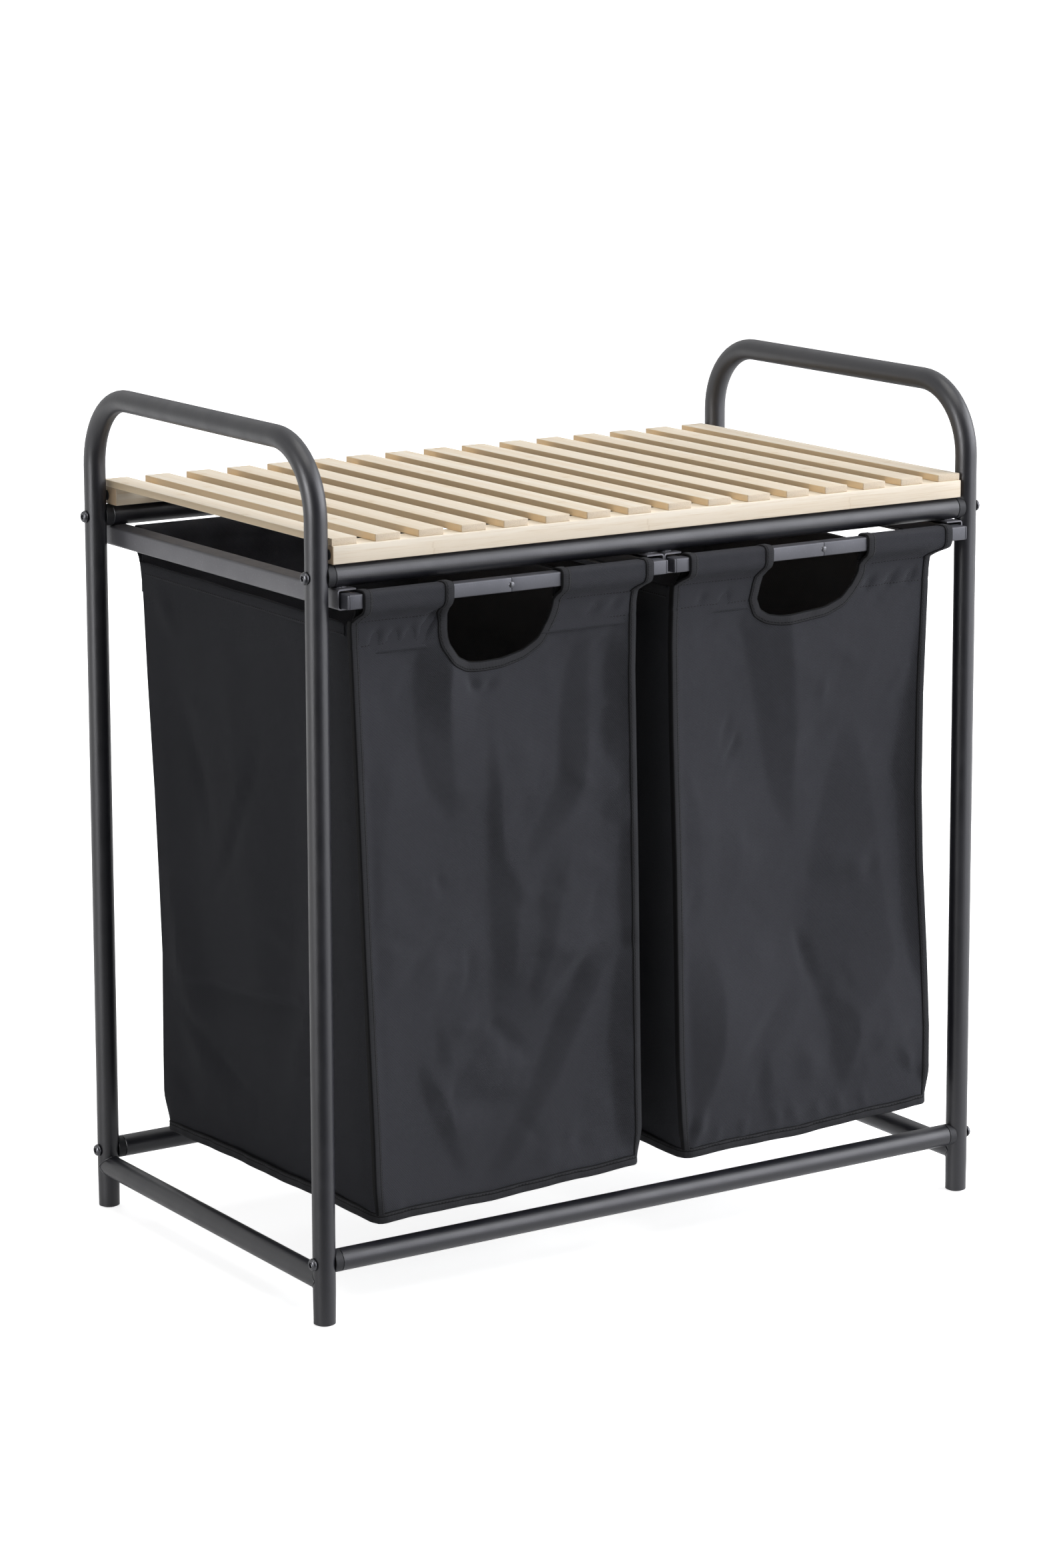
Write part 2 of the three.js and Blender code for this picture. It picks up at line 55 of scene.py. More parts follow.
MM = 0.001
TAU = 2 * math.pi
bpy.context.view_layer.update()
SIDES = {"left": -1, "right": 1}

# Frame and top, in millimetres as all lengths of the shapes
ENDS = {"front": -183.05, "rear": 195.95}
LEG_X = 329.0
LEG_FOOT = 1.0
TUBE_RADIUS = 9.5
TUBE_WALL = 1.2
TUBE_BORE = TUBE_RADIUS - TUBE_WALL
BEND_RADIUS = 62.0
HANDLE_Z = 728.5
SIDE_TUBE_Z = 37.5
CROSS_TUBES = {"top": 622.0, "bottom": 52.5}
CROSS_HALF = 315.2
SPACER_START = 315.5
SPACER_BORE = 3.2
LEG_CLEAR_RADIUS = 9.8
RAIL_WALL = 1.2
STOP_TAB = (182.75, 183.95)
SLAT_PITCH = 40.8
SLAT_COUNT = 16
SLAT_LENGTH = 390

# Hoops
BIN_X = 158.275
HOOP_HALF = 154.925
BAR_SIZE = 12.0
BAR_BASE = 596.7
BAR_TOP = BAR_BASE + BAR_SIZE
HOOP_FRONT = -205.55
HOOP_REAR = 182.45
BAR_FRONTS = (HOOP_FRONT, HOOP_REAR - BAR_SIZE)
CAP_LENGTH = 1.9
SPIGOT_INSET = 1.35


def box_mm(node):
    """Lowest and highest corner of a frame node, in millimetres."""
    low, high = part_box(node)
    return np.array(low) / MM, np.array(high) / MM


class Shape:
    """Grids of points gathered into one mesh. A grid is an array of rows, columns and x y z in millimetres."""

    def __init__(self):
        self.points, self.quads, self.maps, self.count = [], [], [], 0

    def grid(self, points, uv=None):
        """Adds a grid, or equal ones stacked in front. Neighbouring rows and columns span the faces, and uv gives
        each point's place on the cloth."""
        number = points.size // 3
        index = np.arange(number).reshape(points.shape[:-1]) + self.count
        near, far = index[..., :-1, :], index[..., 1:, :]
        quads = np.stack([near[..., :-1], near[..., 1:], far[..., 1:], far[..., :-1]], -1)
        self.points.append(points.reshape(-1, 3))
        self.quads.append(quads.reshape(-1, 4))
        self.maps.append(np.zeros((number, 2)) if uv is None else uv.reshape(-1, 2))
        self.count += number
        return self

    def object(self, name, material, body, slot, replaces=(), shell=False, angle=40, merge=0.01):
        """Makes the mesh object, joins points that meet, turns closed surfaces outwards and hangs it on its body."""
        points = np.concatenate(self.points) * MM
        quads = np.concatenate(self.quads)
        mesh = bpy.data.meshes.new(name)
        mesh.vertices.add(len(points))
        mesh.vertices.foreach_set("co", points.astype(np.float32).ravel())
        mesh.loops.add(quads.size)
        mesh.loops.foreach_set("vertex_index", quads.astype(np.int32).ravel())
        mesh.polygons.add(len(quads))
        mesh.polygons.foreach_set("loop_start", np.arange(0, quads.size, 4, dtype=np.int32))
        layer = mesh.uv_layers.new(name="Cloth")
        layer.data.foreach_set("uv", (np.concatenate(self.maps) * MM)[quads.ravel()].astype(np.float32).ravel())
        mesh.update(calc_edges=True)
        mesh.validate()
        work = bmesh.new()
        work.from_mesh(mesh)
        bmesh.ops.remove_doubles(work, verts=work.verts, dist=merge * MM)
        bmesh.ops.dissolve_degenerate(work, edges=work.edges, dist=merge * MM * 0.5)
        if not shell:
            bmesh.ops.recalc_face_normals(work, faces=work.faces)
        work.to_mesh(mesh)
        work.free()
        mesh.shade_smooth()
        mesh.set_sharp_from_angle(angle=math.radians(angle))
        mesh.materials.append(material)
        piece = bpy.data.objects.new(name, mesh)
        bpy.context.scene.collection.objects.link(piece)
        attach(piece, body)
        if replaces:
            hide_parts(*replaces)
        return piece


def circle(count=48):
    """Angles once round, with the first repeated at the end."""
    return np.linspace(0, TAU, count + 1)


def turned(profile, centre, axis, direction=1, count=48, radial=None):
    """A profile of rows (along, radius) turned round an axis: the radius times cosine and sine of the angle.
    radial gives each row's share of a six-sided outline instead of a circle."""
    profile = np.asarray(profile, float)
    angle = circle(count)
    radius = profile[:, 1:2] * np.ones_like(angle)
    if radial is not None:
        six = math.cos(math.pi / 6) / np.cos((angle % (math.pi / 3)) - math.pi / 6)
        radius = radius * (1 + np.asarray(radial, float)[:, None] * (six - 1))
    out = np.empty(radius.shape + (3,))
    first, second = [i for i in range(3) if i != axis]
    out[..., axis] = centre[axis] + direction * profile[:, :1]
    out[..., first] = centre[first] + radius * np.cos(angle)
    out[..., second] = centre[second] + radius * np.sin(angle)
    return out


def rounded_outline(width, height, radius, steps=4):
    """A rectangle with rounded corners and its outward directions: four corner centres plus a quarter circle each."""
    quarter = np.linspace(0, math.pi / 2, steps + 1)
    starts = np.repeat(np.arange(4) * math.pi / 2, steps + 1)
    angle = np.tile(quarter, 4) + starts
    corner = np.array([[1, 1], [-1, 1], [-1, -1], [1, -1]]) * (np.array([width, height]) / 2 - radius)
    normal = np.stack([np.cos(angle), np.sin(angle)], -1)
    points = np.repeat(corner, steps + 1, 0) + radius * normal
    return np.concatenate([points, points[:1]]), np.concatenate([normal, normal[:1]])


def rounded_bar(low, high, edge, axis, end_edge=None, steps=4, stations=2, wander=None):
    """A box with rounded long edges, its outline carried along one axis and drawn in at both ends as a quarter
    circle. wander adds a slow sideways bend as a function of the place along the axis."""
    low, high = np.asarray(low, float), np.asarray(high, float)
    middle, size = (low + high) / 2, high - low
    first, second = [i for i in range(3) if i != axis]
    outline, normal = rounded_outline(size[first], size[second], edge, steps)
    end_edge = edge if end_edge is None else end_edge
    turn = np.linspace(0, math.pi / 2, steps + 1)
    inset = end_edge * (1 - np.sin(turn))
    along = end_edge * (1 - np.cos(turn))
    body = np.linspace(end_edge, size[axis] - end_edge, stations + 2)[1:-1]
    place = np.concatenate([[0], along, body, size[axis] - along[::-1], [size[axis]]]) + low[axis]
    pull = np.concatenate([[0], inset, np.zeros(len(body)), inset[::-1], [0]])
    rows = outline[None] - pull[:, None, None] * normal[None]
    rows[0], rows[-1] = 0, 0
    out = np.empty(rows.shape[:2] + (3,))
    out[..., axis] = place[:, None]
    out[..., first] = rows[..., 0] + middle[first]
    out[..., second] = rows[..., 1] + middle[second]
    if wander is not None:
        out[..., first] += wander(place)[:, None]
    return out


def swept_circle(path, side, radius, count=40, ends=0.0):
    """A circle carried along a flat path: path plus radius times cosine of the in-plane normal and sine of the side.
    The first and last ring are drawn in by ends, so the cut edges catch light."""
    step = np.gradient(path, axis=0)
    step /= np.linalg.norm(step, axis=1, keepdims=True)
    normal = np.cross(step, side)
    angle = circle(count)[None, :, None]
    size = np.full(len(path), float(radius))
    size[[0, -1]] -= ends
    ring = np.cos(angle) * normal[:, None] + np.sin(angle) * np.asarray(side, float)
    return path[:, None] + size[:, None, None] * ring


def tone(colour, *shares):
    """A colour times one share or three, held at one."""
    return tuple(min(1.0, part * share) for part, share in zip(colour, shares * (3 // len(shares))))


class Nodes:
    """Adds nodes to a tree; most functions give back an output."""

    def __init__(self, tree):
        self.tree = tree
        self.coordinates = self.node("ShaderNodeTexCoord").outputs
        self.place = self.coordinates["Object"]

    def node(self, kind, inputs=None, **settings):
        """Adds a node; inputs maps a socket name or number to a value or to another node's output."""
        made = self.tree.nodes.new(kind)
        for key, value in settings.items():
            setattr(made, key, value)
        for key, value in (inputs or {}).items():
            self.feed(made.inputs[key], value)
        return made

    def feed(self, socket, value):
        """Links an output to a socket, or sets its value."""
        if isinstance(value, bpy.types.NodeSocket):
            self.tree.links.new(value, socket)
        else:
            socket.default_value = value

    def sum(self, operation, *values):
        """The output of one step of arithmetic."""
        return self.node("ShaderNodeMath", dict(enumerate(values)), operation=operation).outputs[0]

    def axes(self, source):
        """The three parts of a vector."""
        return self.node("ShaderNodeSeparateXYZ", {0: source}).outputs

    def scaled(self, scale):
        """The coordinates stretched by three factors."""
        return self.node("ShaderNodeMapping", {"Vector": self.place, "Scale": scale}).outputs[0]

    def noise(self, vector, scale, detail=3.0, rough=0.5):
        """Smooth noise between nought and one."""
        keys = {"Vector": vector, "Scale": scale, "Detail": detail, "Roughness": rough}
        return self.node("ShaderNodeTexNoise", keys).outputs[0]

    def span(self, value, low, high, to_low=0.0, to_high=1.0, **settings):
        """Carries a value from one range to another, held at the ends."""
        keys = {"Value": value, "From Min": low, "From Max": high, "To Min": to_low, "To Max": to_high}
        return self.node("ShaderNodeMapRange", keys, **settings).outputs[0]

    def mix(self, share, first, second):
        """Mixes two colours by a share; each is a colour or an output."""
        pair = [item if isinstance(item, bpy.types.NodeSocket) else (*item, 1) for item in (first, second)]
        return self.node("ShaderNodeMix", {0: share, 6: pair[0], 7: pair[1]}, data_type="RGBA").outputs[2]


class Finish(Nodes):
    """Builds a node material; look and colour nodes feed one shader."""

    def __init__(self, name, colour, roughness, **sockets):
        self.material = bpy.data.materials.new(name)
        self.material.use_nodes = True
        super().__init__(self.material.node_tree)
        self.shader = self.tree.nodes["Principled BSDF"]
        for key, value in {"Base_Color": (*colour, 1), "Roughness": roughness, **sockets}.items():
            self.shader.inputs[key.replace("_", " ")].default_value = value

    def colour(self, source):
        self.feed(self.shader.inputs["Base Color"], source)

    def roughness(self, source, low, high, middle, spread):
        """Roughness that follows a source from one side of its middle value to the other."""
        self.feed(self.shader.inputs["Roughness"], self.span(source, low, high, middle - spread, middle + spread))

    def bump(self, height, distance, strength=1.0, under=None):
        """Raises the surface by a height over a distance in metres."""
        keys = {"Height": height, "Distance": distance, "Strength": strength}
        made = self.node("ShaderNodeBump", {**keys, "Normal": under} if under is not None else keys)
        self.feed(self.shader.inputs["Normal"], made.outputs[0])
        return made.outputs[0]


def paint_finish(name, colour, roughness, metallic, grain, relief, mottle=0.12):
    """Satin powder coat: fine orange-peel bumps, a slow change of tone and of gloss."""
    f = Finish(name, colour, roughness, Metallic=metallic, Specular_IOR_Level=0.5)
    fine = f.noise(f.place, grain, 2.0, 0.6)
    base = f.mix(f.noise(f.place, 14.0), tone(colour, 1 - mottle), tone(colour, 1 + mottle))
    f.colour(f.mix(f.span(fine, 0.6, 0.74, 0.0, 0.5), base, tone(colour, 1.8)))
    f.roughness(f.noise(f.place, 55.0, 4.0), 0.3, 0.7, roughness, 0.05)
    f.bump(fine, relief)
    return f.material


def bamboo_finish(name, colour, along):
    """Pressed bamboo: strips with their own tone, long fibres, darker rings where the canes had their joints, brown
    cut ends, and faces turned along x warmer and lighter than the top, partly their own tone and partly painted
    warm bounce light. along is the axis of the fibres: 1 for the slats, 0 for the beams."""
    f = Finish(name, colour, 0.5, Specular_IOR_Level=0.35)
    axes = f.axes(f.place)
    run, across = axes[along], axes[1 - along]
    if along:
        pitch, strip_width, end_from, end_to = SLAT_PITCH * MM, 0.0082, 0.1935, 0.1952
        slat = f.sum("FLOOR", f.sum("DIVIDE", across, pitch))
        inside = f.sum("SUBTRACT", across, f.sum("MULTIPLY", slat, pitch))
        far = f.sum("ABSOLUTE", f.sum("SUBTRACT", run, sum(ENDS.values()) / 2 * MM))
    else:
        strip_width, beam_base, end_from, end_to = 0.0051, 0.6318, 0.3165, 0.3177
        slat = f.sum("FLOOR", f.sum("MULTIPLY", across, 4.0))
        inside = f.sum("SUBTRACT", axes[2], beam_base)
        far = f.sum("ABSOLUTE", run)
    strip = f.sum("FLOOR", f.sum("DIVIDE", inside, strip_width))
    end = f.span(far, end_from, end_to)
    tag = f.node("ShaderNodeCombineXYZ", {0: slat, 1: strip, 2: 0.5}).outputs[0]
    chance = f.node("ShaderNodeTexWhiteNoise", {"Vector": tag}).outputs[0]
    drift, grain = [
        f.noise(f.scaled((fine, long, fine) if along else (long, fine, fine)), 1.0, detail, rough)
        for long, fine, detail, rough in ((3.0, 30.0, 3.0, 0.5), (26.0, 900.0, 5.0, 0.65))
    ]
    warm = tone(colour, 0.93, 0.84, 0.72)
    base = f.mix(f.span(chance, 0.0, 1.0, 0.0, 0.55), tone(colour, 1.06), warm)
    base = f.mix(f.span(drift, 0.3, 0.75, 0.0, 0.4), base, warm)
    base = f.mix(f.span(grain, 0.5, 0.74, 0.0, 0.5), base, tone(colour, 0.8, 0.67, 0.5))
    # Joints of the canes: a thin ring with a soft halo at a chance place along some of the strips
    shift = f.sum("ADD", f.sum("DIVIDE", run, 0.21), f.sum("MULTIPLY", chance, 7.3))
    wave = f.sum("MULTIPLY", f.sum("SUBTRACT", f.noise(f.place, 260.0, 2.0), 0.5), 0.02)
    gap = f.sum("ABSOLUTE", f.sum("SUBTRACT", f.sum("FRACT", f.sum("ADD", shift, wave)), 0.5))
    chosen = f.sum("GREATER_THAN", chance, 0.45)
    ring = f.sum("MULTIPLY", f.span(gap, 0.0, 0.006, 1.0, 0.0), chosen)
    halo = f.sum("MULTIPLY", f.span(gap, 0.0, 0.05, 0.22 if along else 0.1, 0.0), chosen)
    base = f.mix(halo, base, tone(colour, 0.82, 0.68, 0.47))
    base = f.mix(f.sum("MULTIPLY", ring, 0.4 if along else 0.15), base, tone(colour, 0.5, 0.34, 0.18))
    pores = f.span(f.noise(f.place, 1500.0, 1.0), 0.45, 0.65, 0.0, 0.3)
    cut = f.mix(pores, tone(colour, 0.86, 0.79, 0.7), (0.36, 0.26, 0.18))
    # Faces turned along x: a warmer, lighter colour, partly the bamboo's own side tone and partly painted warm bounce
    # light; cut ends turned along x are warmed the same way
    side_tone_and_bounce = f.span(f.sum("ABSOLUTE", f.axes(f.coordinates["Normal"])[0]), 0.5, 0.9)
    base = f.mix(side_tone_and_bounce, base, tone(colour, 1.27, 1.11, 0.88))
    cut = f.mix(f.sum("MULTIPLY", side_tone_and_bounce, 0.6), cut, tone(colour, 0.96, 0.7, 0.45))
    f.colour(f.mix(end, base, cut))
    f.roughness(grain, 0.3, 0.8, 0.51, 0.09)
    f.bump(f.sum("SUBTRACT", grain, f.sum("MULTIPLY", ring, 0.6)), 0.00012, 0.6)
    return f.material


def cloth_finish(name, colour, pitch=0.00135, weave=0.00022):
    """Polyester twill: diagonal ribs crossed by the threads, a soft nap, faint wrinkles."""
    f = Finish(name, colour, 0.6, Sheen_Weight=0.015, Sheen_Roughness=0.4, Specular_IOR_Level=0.02)
    axes = f.axes(f.coordinates["UV"])
    slant = f.sum("MULTIPLY", f.sum("ADD", axes[0], axes[1]), TAU / pitch)
    thread = f.sum("MULTIPLY", f.sum("SUBTRACT", axes[0], axes[1]), TAU / (pitch * 0.55))
    rib, cross = [f.sum("MULTIPLY", f.sum("SINE", wave), tall) for wave, tall in ((slant, 0.5), (thread, 0.28))]
    height = f.sum("ADD", f.sum("ADD", rib, cross), 0.5)
    fuzz = f.noise(f.place, 1400.0, 2.0, 0.7)
    base = f.mix(f.span(height, 0.0, 1.0), tone(colour, 0.22), tone(colour, 2.1))
    base = f.mix(f.span(fuzz, 0.35, 0.7, 0.0, 0.35), base, tone(colour, 1.25))
    f.colour(f.mix(f.span(f.noise(f.place, 9.0, 4.0), 0.35, 0.7, 0.0, 0.3), base, tone(colour, 0.8)))
    wrinkle = f.bump(f.noise(f.place, 34.0, 4.0, 0.55), 0.0016, 0.55)
    f.bump(f.sum("ADD", height, f.sum("MULTIPLY", fuzz, 0.6)), weave, 0.8, wrinkle)
    return f.material


def tape_finish(name, colour):
    """Grosgrain binding: fine ribs across the tape, and painted shade as dark lines along its inner edge, its stitch
    line and its fold.
    """
    f = Finish(name, colour, 0.6, Sheen_Weight=0.02, Sheen_Roughness=0.4, Specular_IOR_Level=0.04)
    axes = f.axes(f.coordinates["UV"])
    ribs, threads = [
        f.sum("SINE", f.sum("MULTIPLY", axes[i], TAU / pitch)) for i, pitch in ((0, 0.00085), (1, 0.0012))]
    height = f.sum("ADD", f.sum("MULTIPLY", ribs, 0.5), f.sum("MULTIPLY", threads, 0.2))
    fuzz = f.noise(f.place, 900.0, 3.0, 0.6)
    base = f.mix(f.span(height, -0.7, 0.7), tone(colour, 0.72), tone(colour, 1.25))
    base = f.mix(f.span(fuzz, 0.3, 0.8, 0.0, 0.4), base, tone(colour, 1.15))
    # Painted shade: dark lines where the tape meets the cloth, along its stitch line and round its fold
    for line, reach in ((0.0099, 0.0012), (0.0072, 0.0006), (0.0, 0.0011)):
        gap = f.sum("ABSOLUTE", f.sum("SUBTRACT", axes[1], line))
        base = f.mix(f.span(gap, reach * 0.4, reach, 0.85, 0.0), base, tone(colour, 0.16))
    f.colour(base)
    f.bump(f.sum("ADD", height, f.sum("MULTIPLY", fuzz, 0.5)), 0.00012, 0.8)
    return f.material


def moulded_finish(name, colour, roughness):
    """Moulded plastic with a fine spark-eroded texture."""
    f = Finish(name, colour, roughness, Specular_IOR_Level=0.22)
    fine = f.noise(f.place, 1300.0, 2.0)
    f.colour(f.mix(f.noise(f.place, 40.0, 2.0), tone(colour, 0.88), tone(colour, 1.12)))
    f.roughness(fine, 0.3, 0.7, roughness, 0.06)
    f.bump(fine, 0.00003)
    return f.material


def plated_finish(name, colour, roughness):
    """Blackened steel with fine turning marks."""
    f = Finish(name, colour, roughness, Metallic=0.85)
    marks = f.noise(f.scaled((60.0, 1200.0, 1200.0)), 1.0)
    f.colour(f.mix(f.span(marks, 0.4, 0.75, 0.0, 0.5), colour, tone(colour, 1.7)))
    f.roughness(f.noise(f.place, 300.0), 0.3, 0.7, roughness, 0.08)
    f.bump(marks, 0.00001)
    return f.material


COLOUR = dict(subtype="COLOR", size=3, min=0.0, max=1.0)
LENGTH = dict(unit="LENGTH")
POWER = dict(min=0.0, max=2000.0, unit="POWER")


class HamperColours(bpy.types.PropertyGroup):
    """Colours a user would change."""
    frame_paint: FloatVectorProperty(
        name="Frame paint", description="Colour of the round tubes", default=(0.0138, 0.0141, 0.0188), **COLOUR)
    rail_paint: FloatVectorProperty(
        name="Rail paint", description="Colour of the rails", default=(0.116, 0.115, 0.127), **COLOUR)
    hoop_paint: FloatVectorProperty(
        name="Hoop paint", description="Colour of the square hoops", default=(0.053, 0.0545, 0.066), **COLOUR)
    moulding: FloatVectorProperty(
        name="Mouldings", description="Colour of spacers and foot plugs", default=(0.03, 0.0305, 0.034), **COLOUR)
    bolts: FloatVectorProperty(
        name="Bolts", description="Colour of bolts and buttons", default=(0.075, 0.076, 0.082), **COLOUR)
    bamboo: FloatVectorProperty(
        name="Bamboo", description="Colour of slats and beams", default=(0.785, 0.718, 0.607), **COLOUR)
    cloth: FloatVectorProperty(
        name="Bag cloth", description="Colour of the bags", default=(0.0395, 0.0402, 0.0458), **COLOUR)
    binding: FloatVectorProperty(
        name="Binding tape", description="Colour of the tape along the bag edges",
        default=(0.033, 0.0334, 0.0365), **COLOUR)
    thread: FloatVectorProperty(
        name="Thread", description="Colour of the stitches", default=(0.012, 0.012, 0.013), **COLOUR)


class HamperBags(bpy.types.PropertyGroup):
    """Sizes of the sewn bags."""
    thickness: FloatProperty(
        name="Cloth thickness", description="Thickness of the doubled cloth", default=0.0008, min=0.0003, max=0.002,
        **LENGTH)
    tape_width: FloatProperty(
        name="Tape width", description="Width of the binding on the front face", default=0.0085, min=0.004, max=0.012,
        **LENGTH)
    stitch_length: FloatProperty(
        name="Stitch length", description="Length of one stitch", default=0.0026, min=0.001, max=0.005, **LENGTH)
    fold_depth: FloatProperty(
        name="Fold depth", description="Depth of the folds against the listed ones", default=1.45, min=0.0, max=3.0,
        subtype="FACTOR")


class HamperStage(bpy.types.PropertyGroup):
    """Light and camera."""
    key_power: FloatProperty(
        name="Key light", description="Power of the large soft light at the front right", default=310.0, **POWER)
    fill_power: FloatProperty(
        name="Fill light", description="Power of the soft light high in front", default=60.0, **POWER)
    top_power: FloatProperty(
        name="Top light", description="Power of the soft light overhead", default=70.0, **POWER)
    back_power: FloatProperty(
        name="Back light", description="Power of the weak soft light behind", default=60.0, **POWER)
    reflectors: FloatProperty(
        name="Reflectors", description="Power of the two tall cards that only gloss shows", default=60.0, **POWER)
    sky: FloatProperty(
        name="Surrounding light", description="Brightness of the white room", default=0.18, min=0.0, max=2.0)
    lens: FloatProperty(
        name="Lens", description="Focal length in millimetres", default=101.71, min=20, max=300)


FINISHES = {}


def finishes():
    """Makes the shared materials once from the chosen colours."""
    if not FINISHES:
        group = bpy.context.scene.hamper_colours
        c = {key: tuple(getattr(group, key)) for key in group.__annotations__}
        FINISHES.update(
            frame=paint_finish("Charcoal powder coat", c["frame_paint"], 0.4, 0.0, 1000.0, 0.00009),
            rail=paint_finish("Satin sheet steel", c["rail_paint"], 0.42, 0.3, 700.0, 0.00004, 0.06),
            hoop=paint_finish("Satin square tube", c["hoop_paint"], 0.42, 0.2, 700.0, 0.00004, 0.06),
            moulding=moulded_finish("Charcoal moulding", c["moulding"], 0.55),
            bolt=plated_finish("Blackened bolt steel", c["bolts"], 0.34),
            slat=bamboo_finish("Bamboo slats", c["bamboo"], 1),
            beam=bamboo_finish("Bamboo beams", c["bamboo"], 0),
            cloth=cloth_finish("Black twill", c["cloth"]),
            tape=tape_finish("Grosgrain binding", c["binding"]),
            thread=moulded_finish("Black thread", c["thread"], 0.8),
        )
    return FINISHES


def side_frame_path():
    """Centre line of a side frame: up the front leg, round a quarter circle, along the handle, down the rear leg."""
    front, rear = ENDS["front"], ENDS["rear"]
    low = HANDLE_Z - BEND_RADIUS
    up = np.linspace(1.0, low, 24)
    quarter = np.linspace(0, math.pi / 2, 15)[1:]
    legs = np.stack([np.full(24, front), up], -1)
    bend = np.stack([front + BEND_RADIUS * (1 - np.cos(quarter)), low + BEND_RADIUS * np.sin(quarter)], -1)
    half = np.concatenate([legs, bend])
    other = half[::-1] * (-1, 1) + (front + rear, 0)
    return np.concatenate([half, other])


class HAMPER_OT_side_frames(bpy.types.Operator):
    """Bend the two side frames with their lower side tubes, weld beads and open leg ends"""
    bl_idname = "hamper.side_frames"
    bl_label = "Side frames"

    def execute(self, context):
        line = side_frame_path()
        angle, bead_angle, dense = circle(40), circle(10)[None], circle(72)[:, None]
        edge, bore_depth, overlap = 0.3, 16, 0.4
        saddle = TUBE_RADIUS * np.abs(np.cos(angle)) - overlap
        starts, stops = ENDS["front"] + saddle, ENDS["rear"] - saddle
        # Weld bead: a thin ring round the side tube that follows the leg's round surface, rippled along its length
        thick, proud = 0.75 + 0.1 * np.sin(dense * 26), 0.8
        grow = TUBE_RADIUS + thick * np.cos(bead_angle) * proud
        reach = TUBE_RADIUS * np.sqrt(np.cos(dense) ** 2 + 0.004) + thick * np.sin(bead_angle)
        for side, sign in SIDES.items():
            x = sign * LEG_X
            shape = Shape()
            path = np.column_stack([np.full(len(line), x), line])
            shape.grid(swept_circle(path, (1, 0, 0), TUBE_RADIUS, 40, edge))
            lip = [(0, TUBE_RADIUS - edge), (0, TUBE_BORE), (bore_depth, TUBE_BORE)]
            for y in ENDS.values():
                shape.grid(turned(lip, (x, y, LEG_FOOT), 2, 1, 40))
            tube = np.empty((6, len(angle), 3))
            tube[..., 0] = x + TUBE_RADIUS * np.sin(angle)
            tube[..., 1] = starts + (stops - starts) * np.linspace(0, 1, 6)[:, None]
            tube[..., 2] = SIDE_TUBE_Z + TUBE_RADIUS * np.cos(angle)
            shape.grid(tube)
            for y, way in zip(ENDS.values(), (1, -1)):
                shape.grid(np.stack([
                    x + grow * np.sin(dense), y + way * reach, SIDE_TUBE_Z + grow * np.cos(dense)], -1))
            shape.object(
                f"side_frame_tube_{side}", finishes()["frame"], "frame", "frame_steel", [f"side_frame_{side}"])
        return {"FINISHED"}


class HAMPER_OT_foot_plugs(bpy.types.Operator):
    """Mould the four plugs in the leg ends"""
    bl_idname = "hamper.foot_plugs"
    bl_label = "Foot plugs"

    def execute(self, context):
        profile = [
            (0, 0), (0, 3.2), (0.5, 3.6), (0.5, 4.4), (0, 4.8), (0, 7.0), (0.35, 7.7), (1.0, 8.0), (15, 8.0), (15, 0)]
        for side, sign in SIDES.items():
            for end, y in ENDS.items():
                shape = Shape().grid(turned(profile, (sign * LEG_X, y, 0), 2, 1, 40))
                shape.object(
                    f"moulded_plug_{end}_{side}", finishes()["moulding"], "frame", "black_plastic",
                    [f"foot_plug_{end}_{side}"])
        return {"FINISHED"}


def saddle_spacer(x_sign, y, z):
    """A short sleeve whose outer end is cut to the leg: its length falls by the leg circle's height at each place."""
    angle = circle(48)
    edge, longest = 0.35, 322.6
    rim, start = TUBE_RADIUS - edge, SPACER_START + 0 * angle

    def cut(radius):
        return np.minimum(LEG_X - np.sqrt(LEG_CLEAR_RADIUS**2 - (radius * np.cos(angle)) ** 2), longest)

    rows = [
        (SPACER_BORE, start), (rim, start), (TUBE_RADIUS, start + edge),
        (TUBE_RADIUS, start + edge + (cut(TUBE_RADIUS) - 0.75 - start) * 0.5), (TUBE_RADIUS, cut(TUBE_RADIUS) - 0.4),
        (rim, cut(rim) - 0.02), (SPACER_BORE, cut(SPACER_BORE)), (SPACER_BORE, start),
    ]
    radius, along = np.array([row[0] for row in rows])[:, None], np.array([row[1] for row in rows])
    return np.stack([x_sign * along, y + radius * np.cos(angle), z + radius * np.sin(angle)], -1)


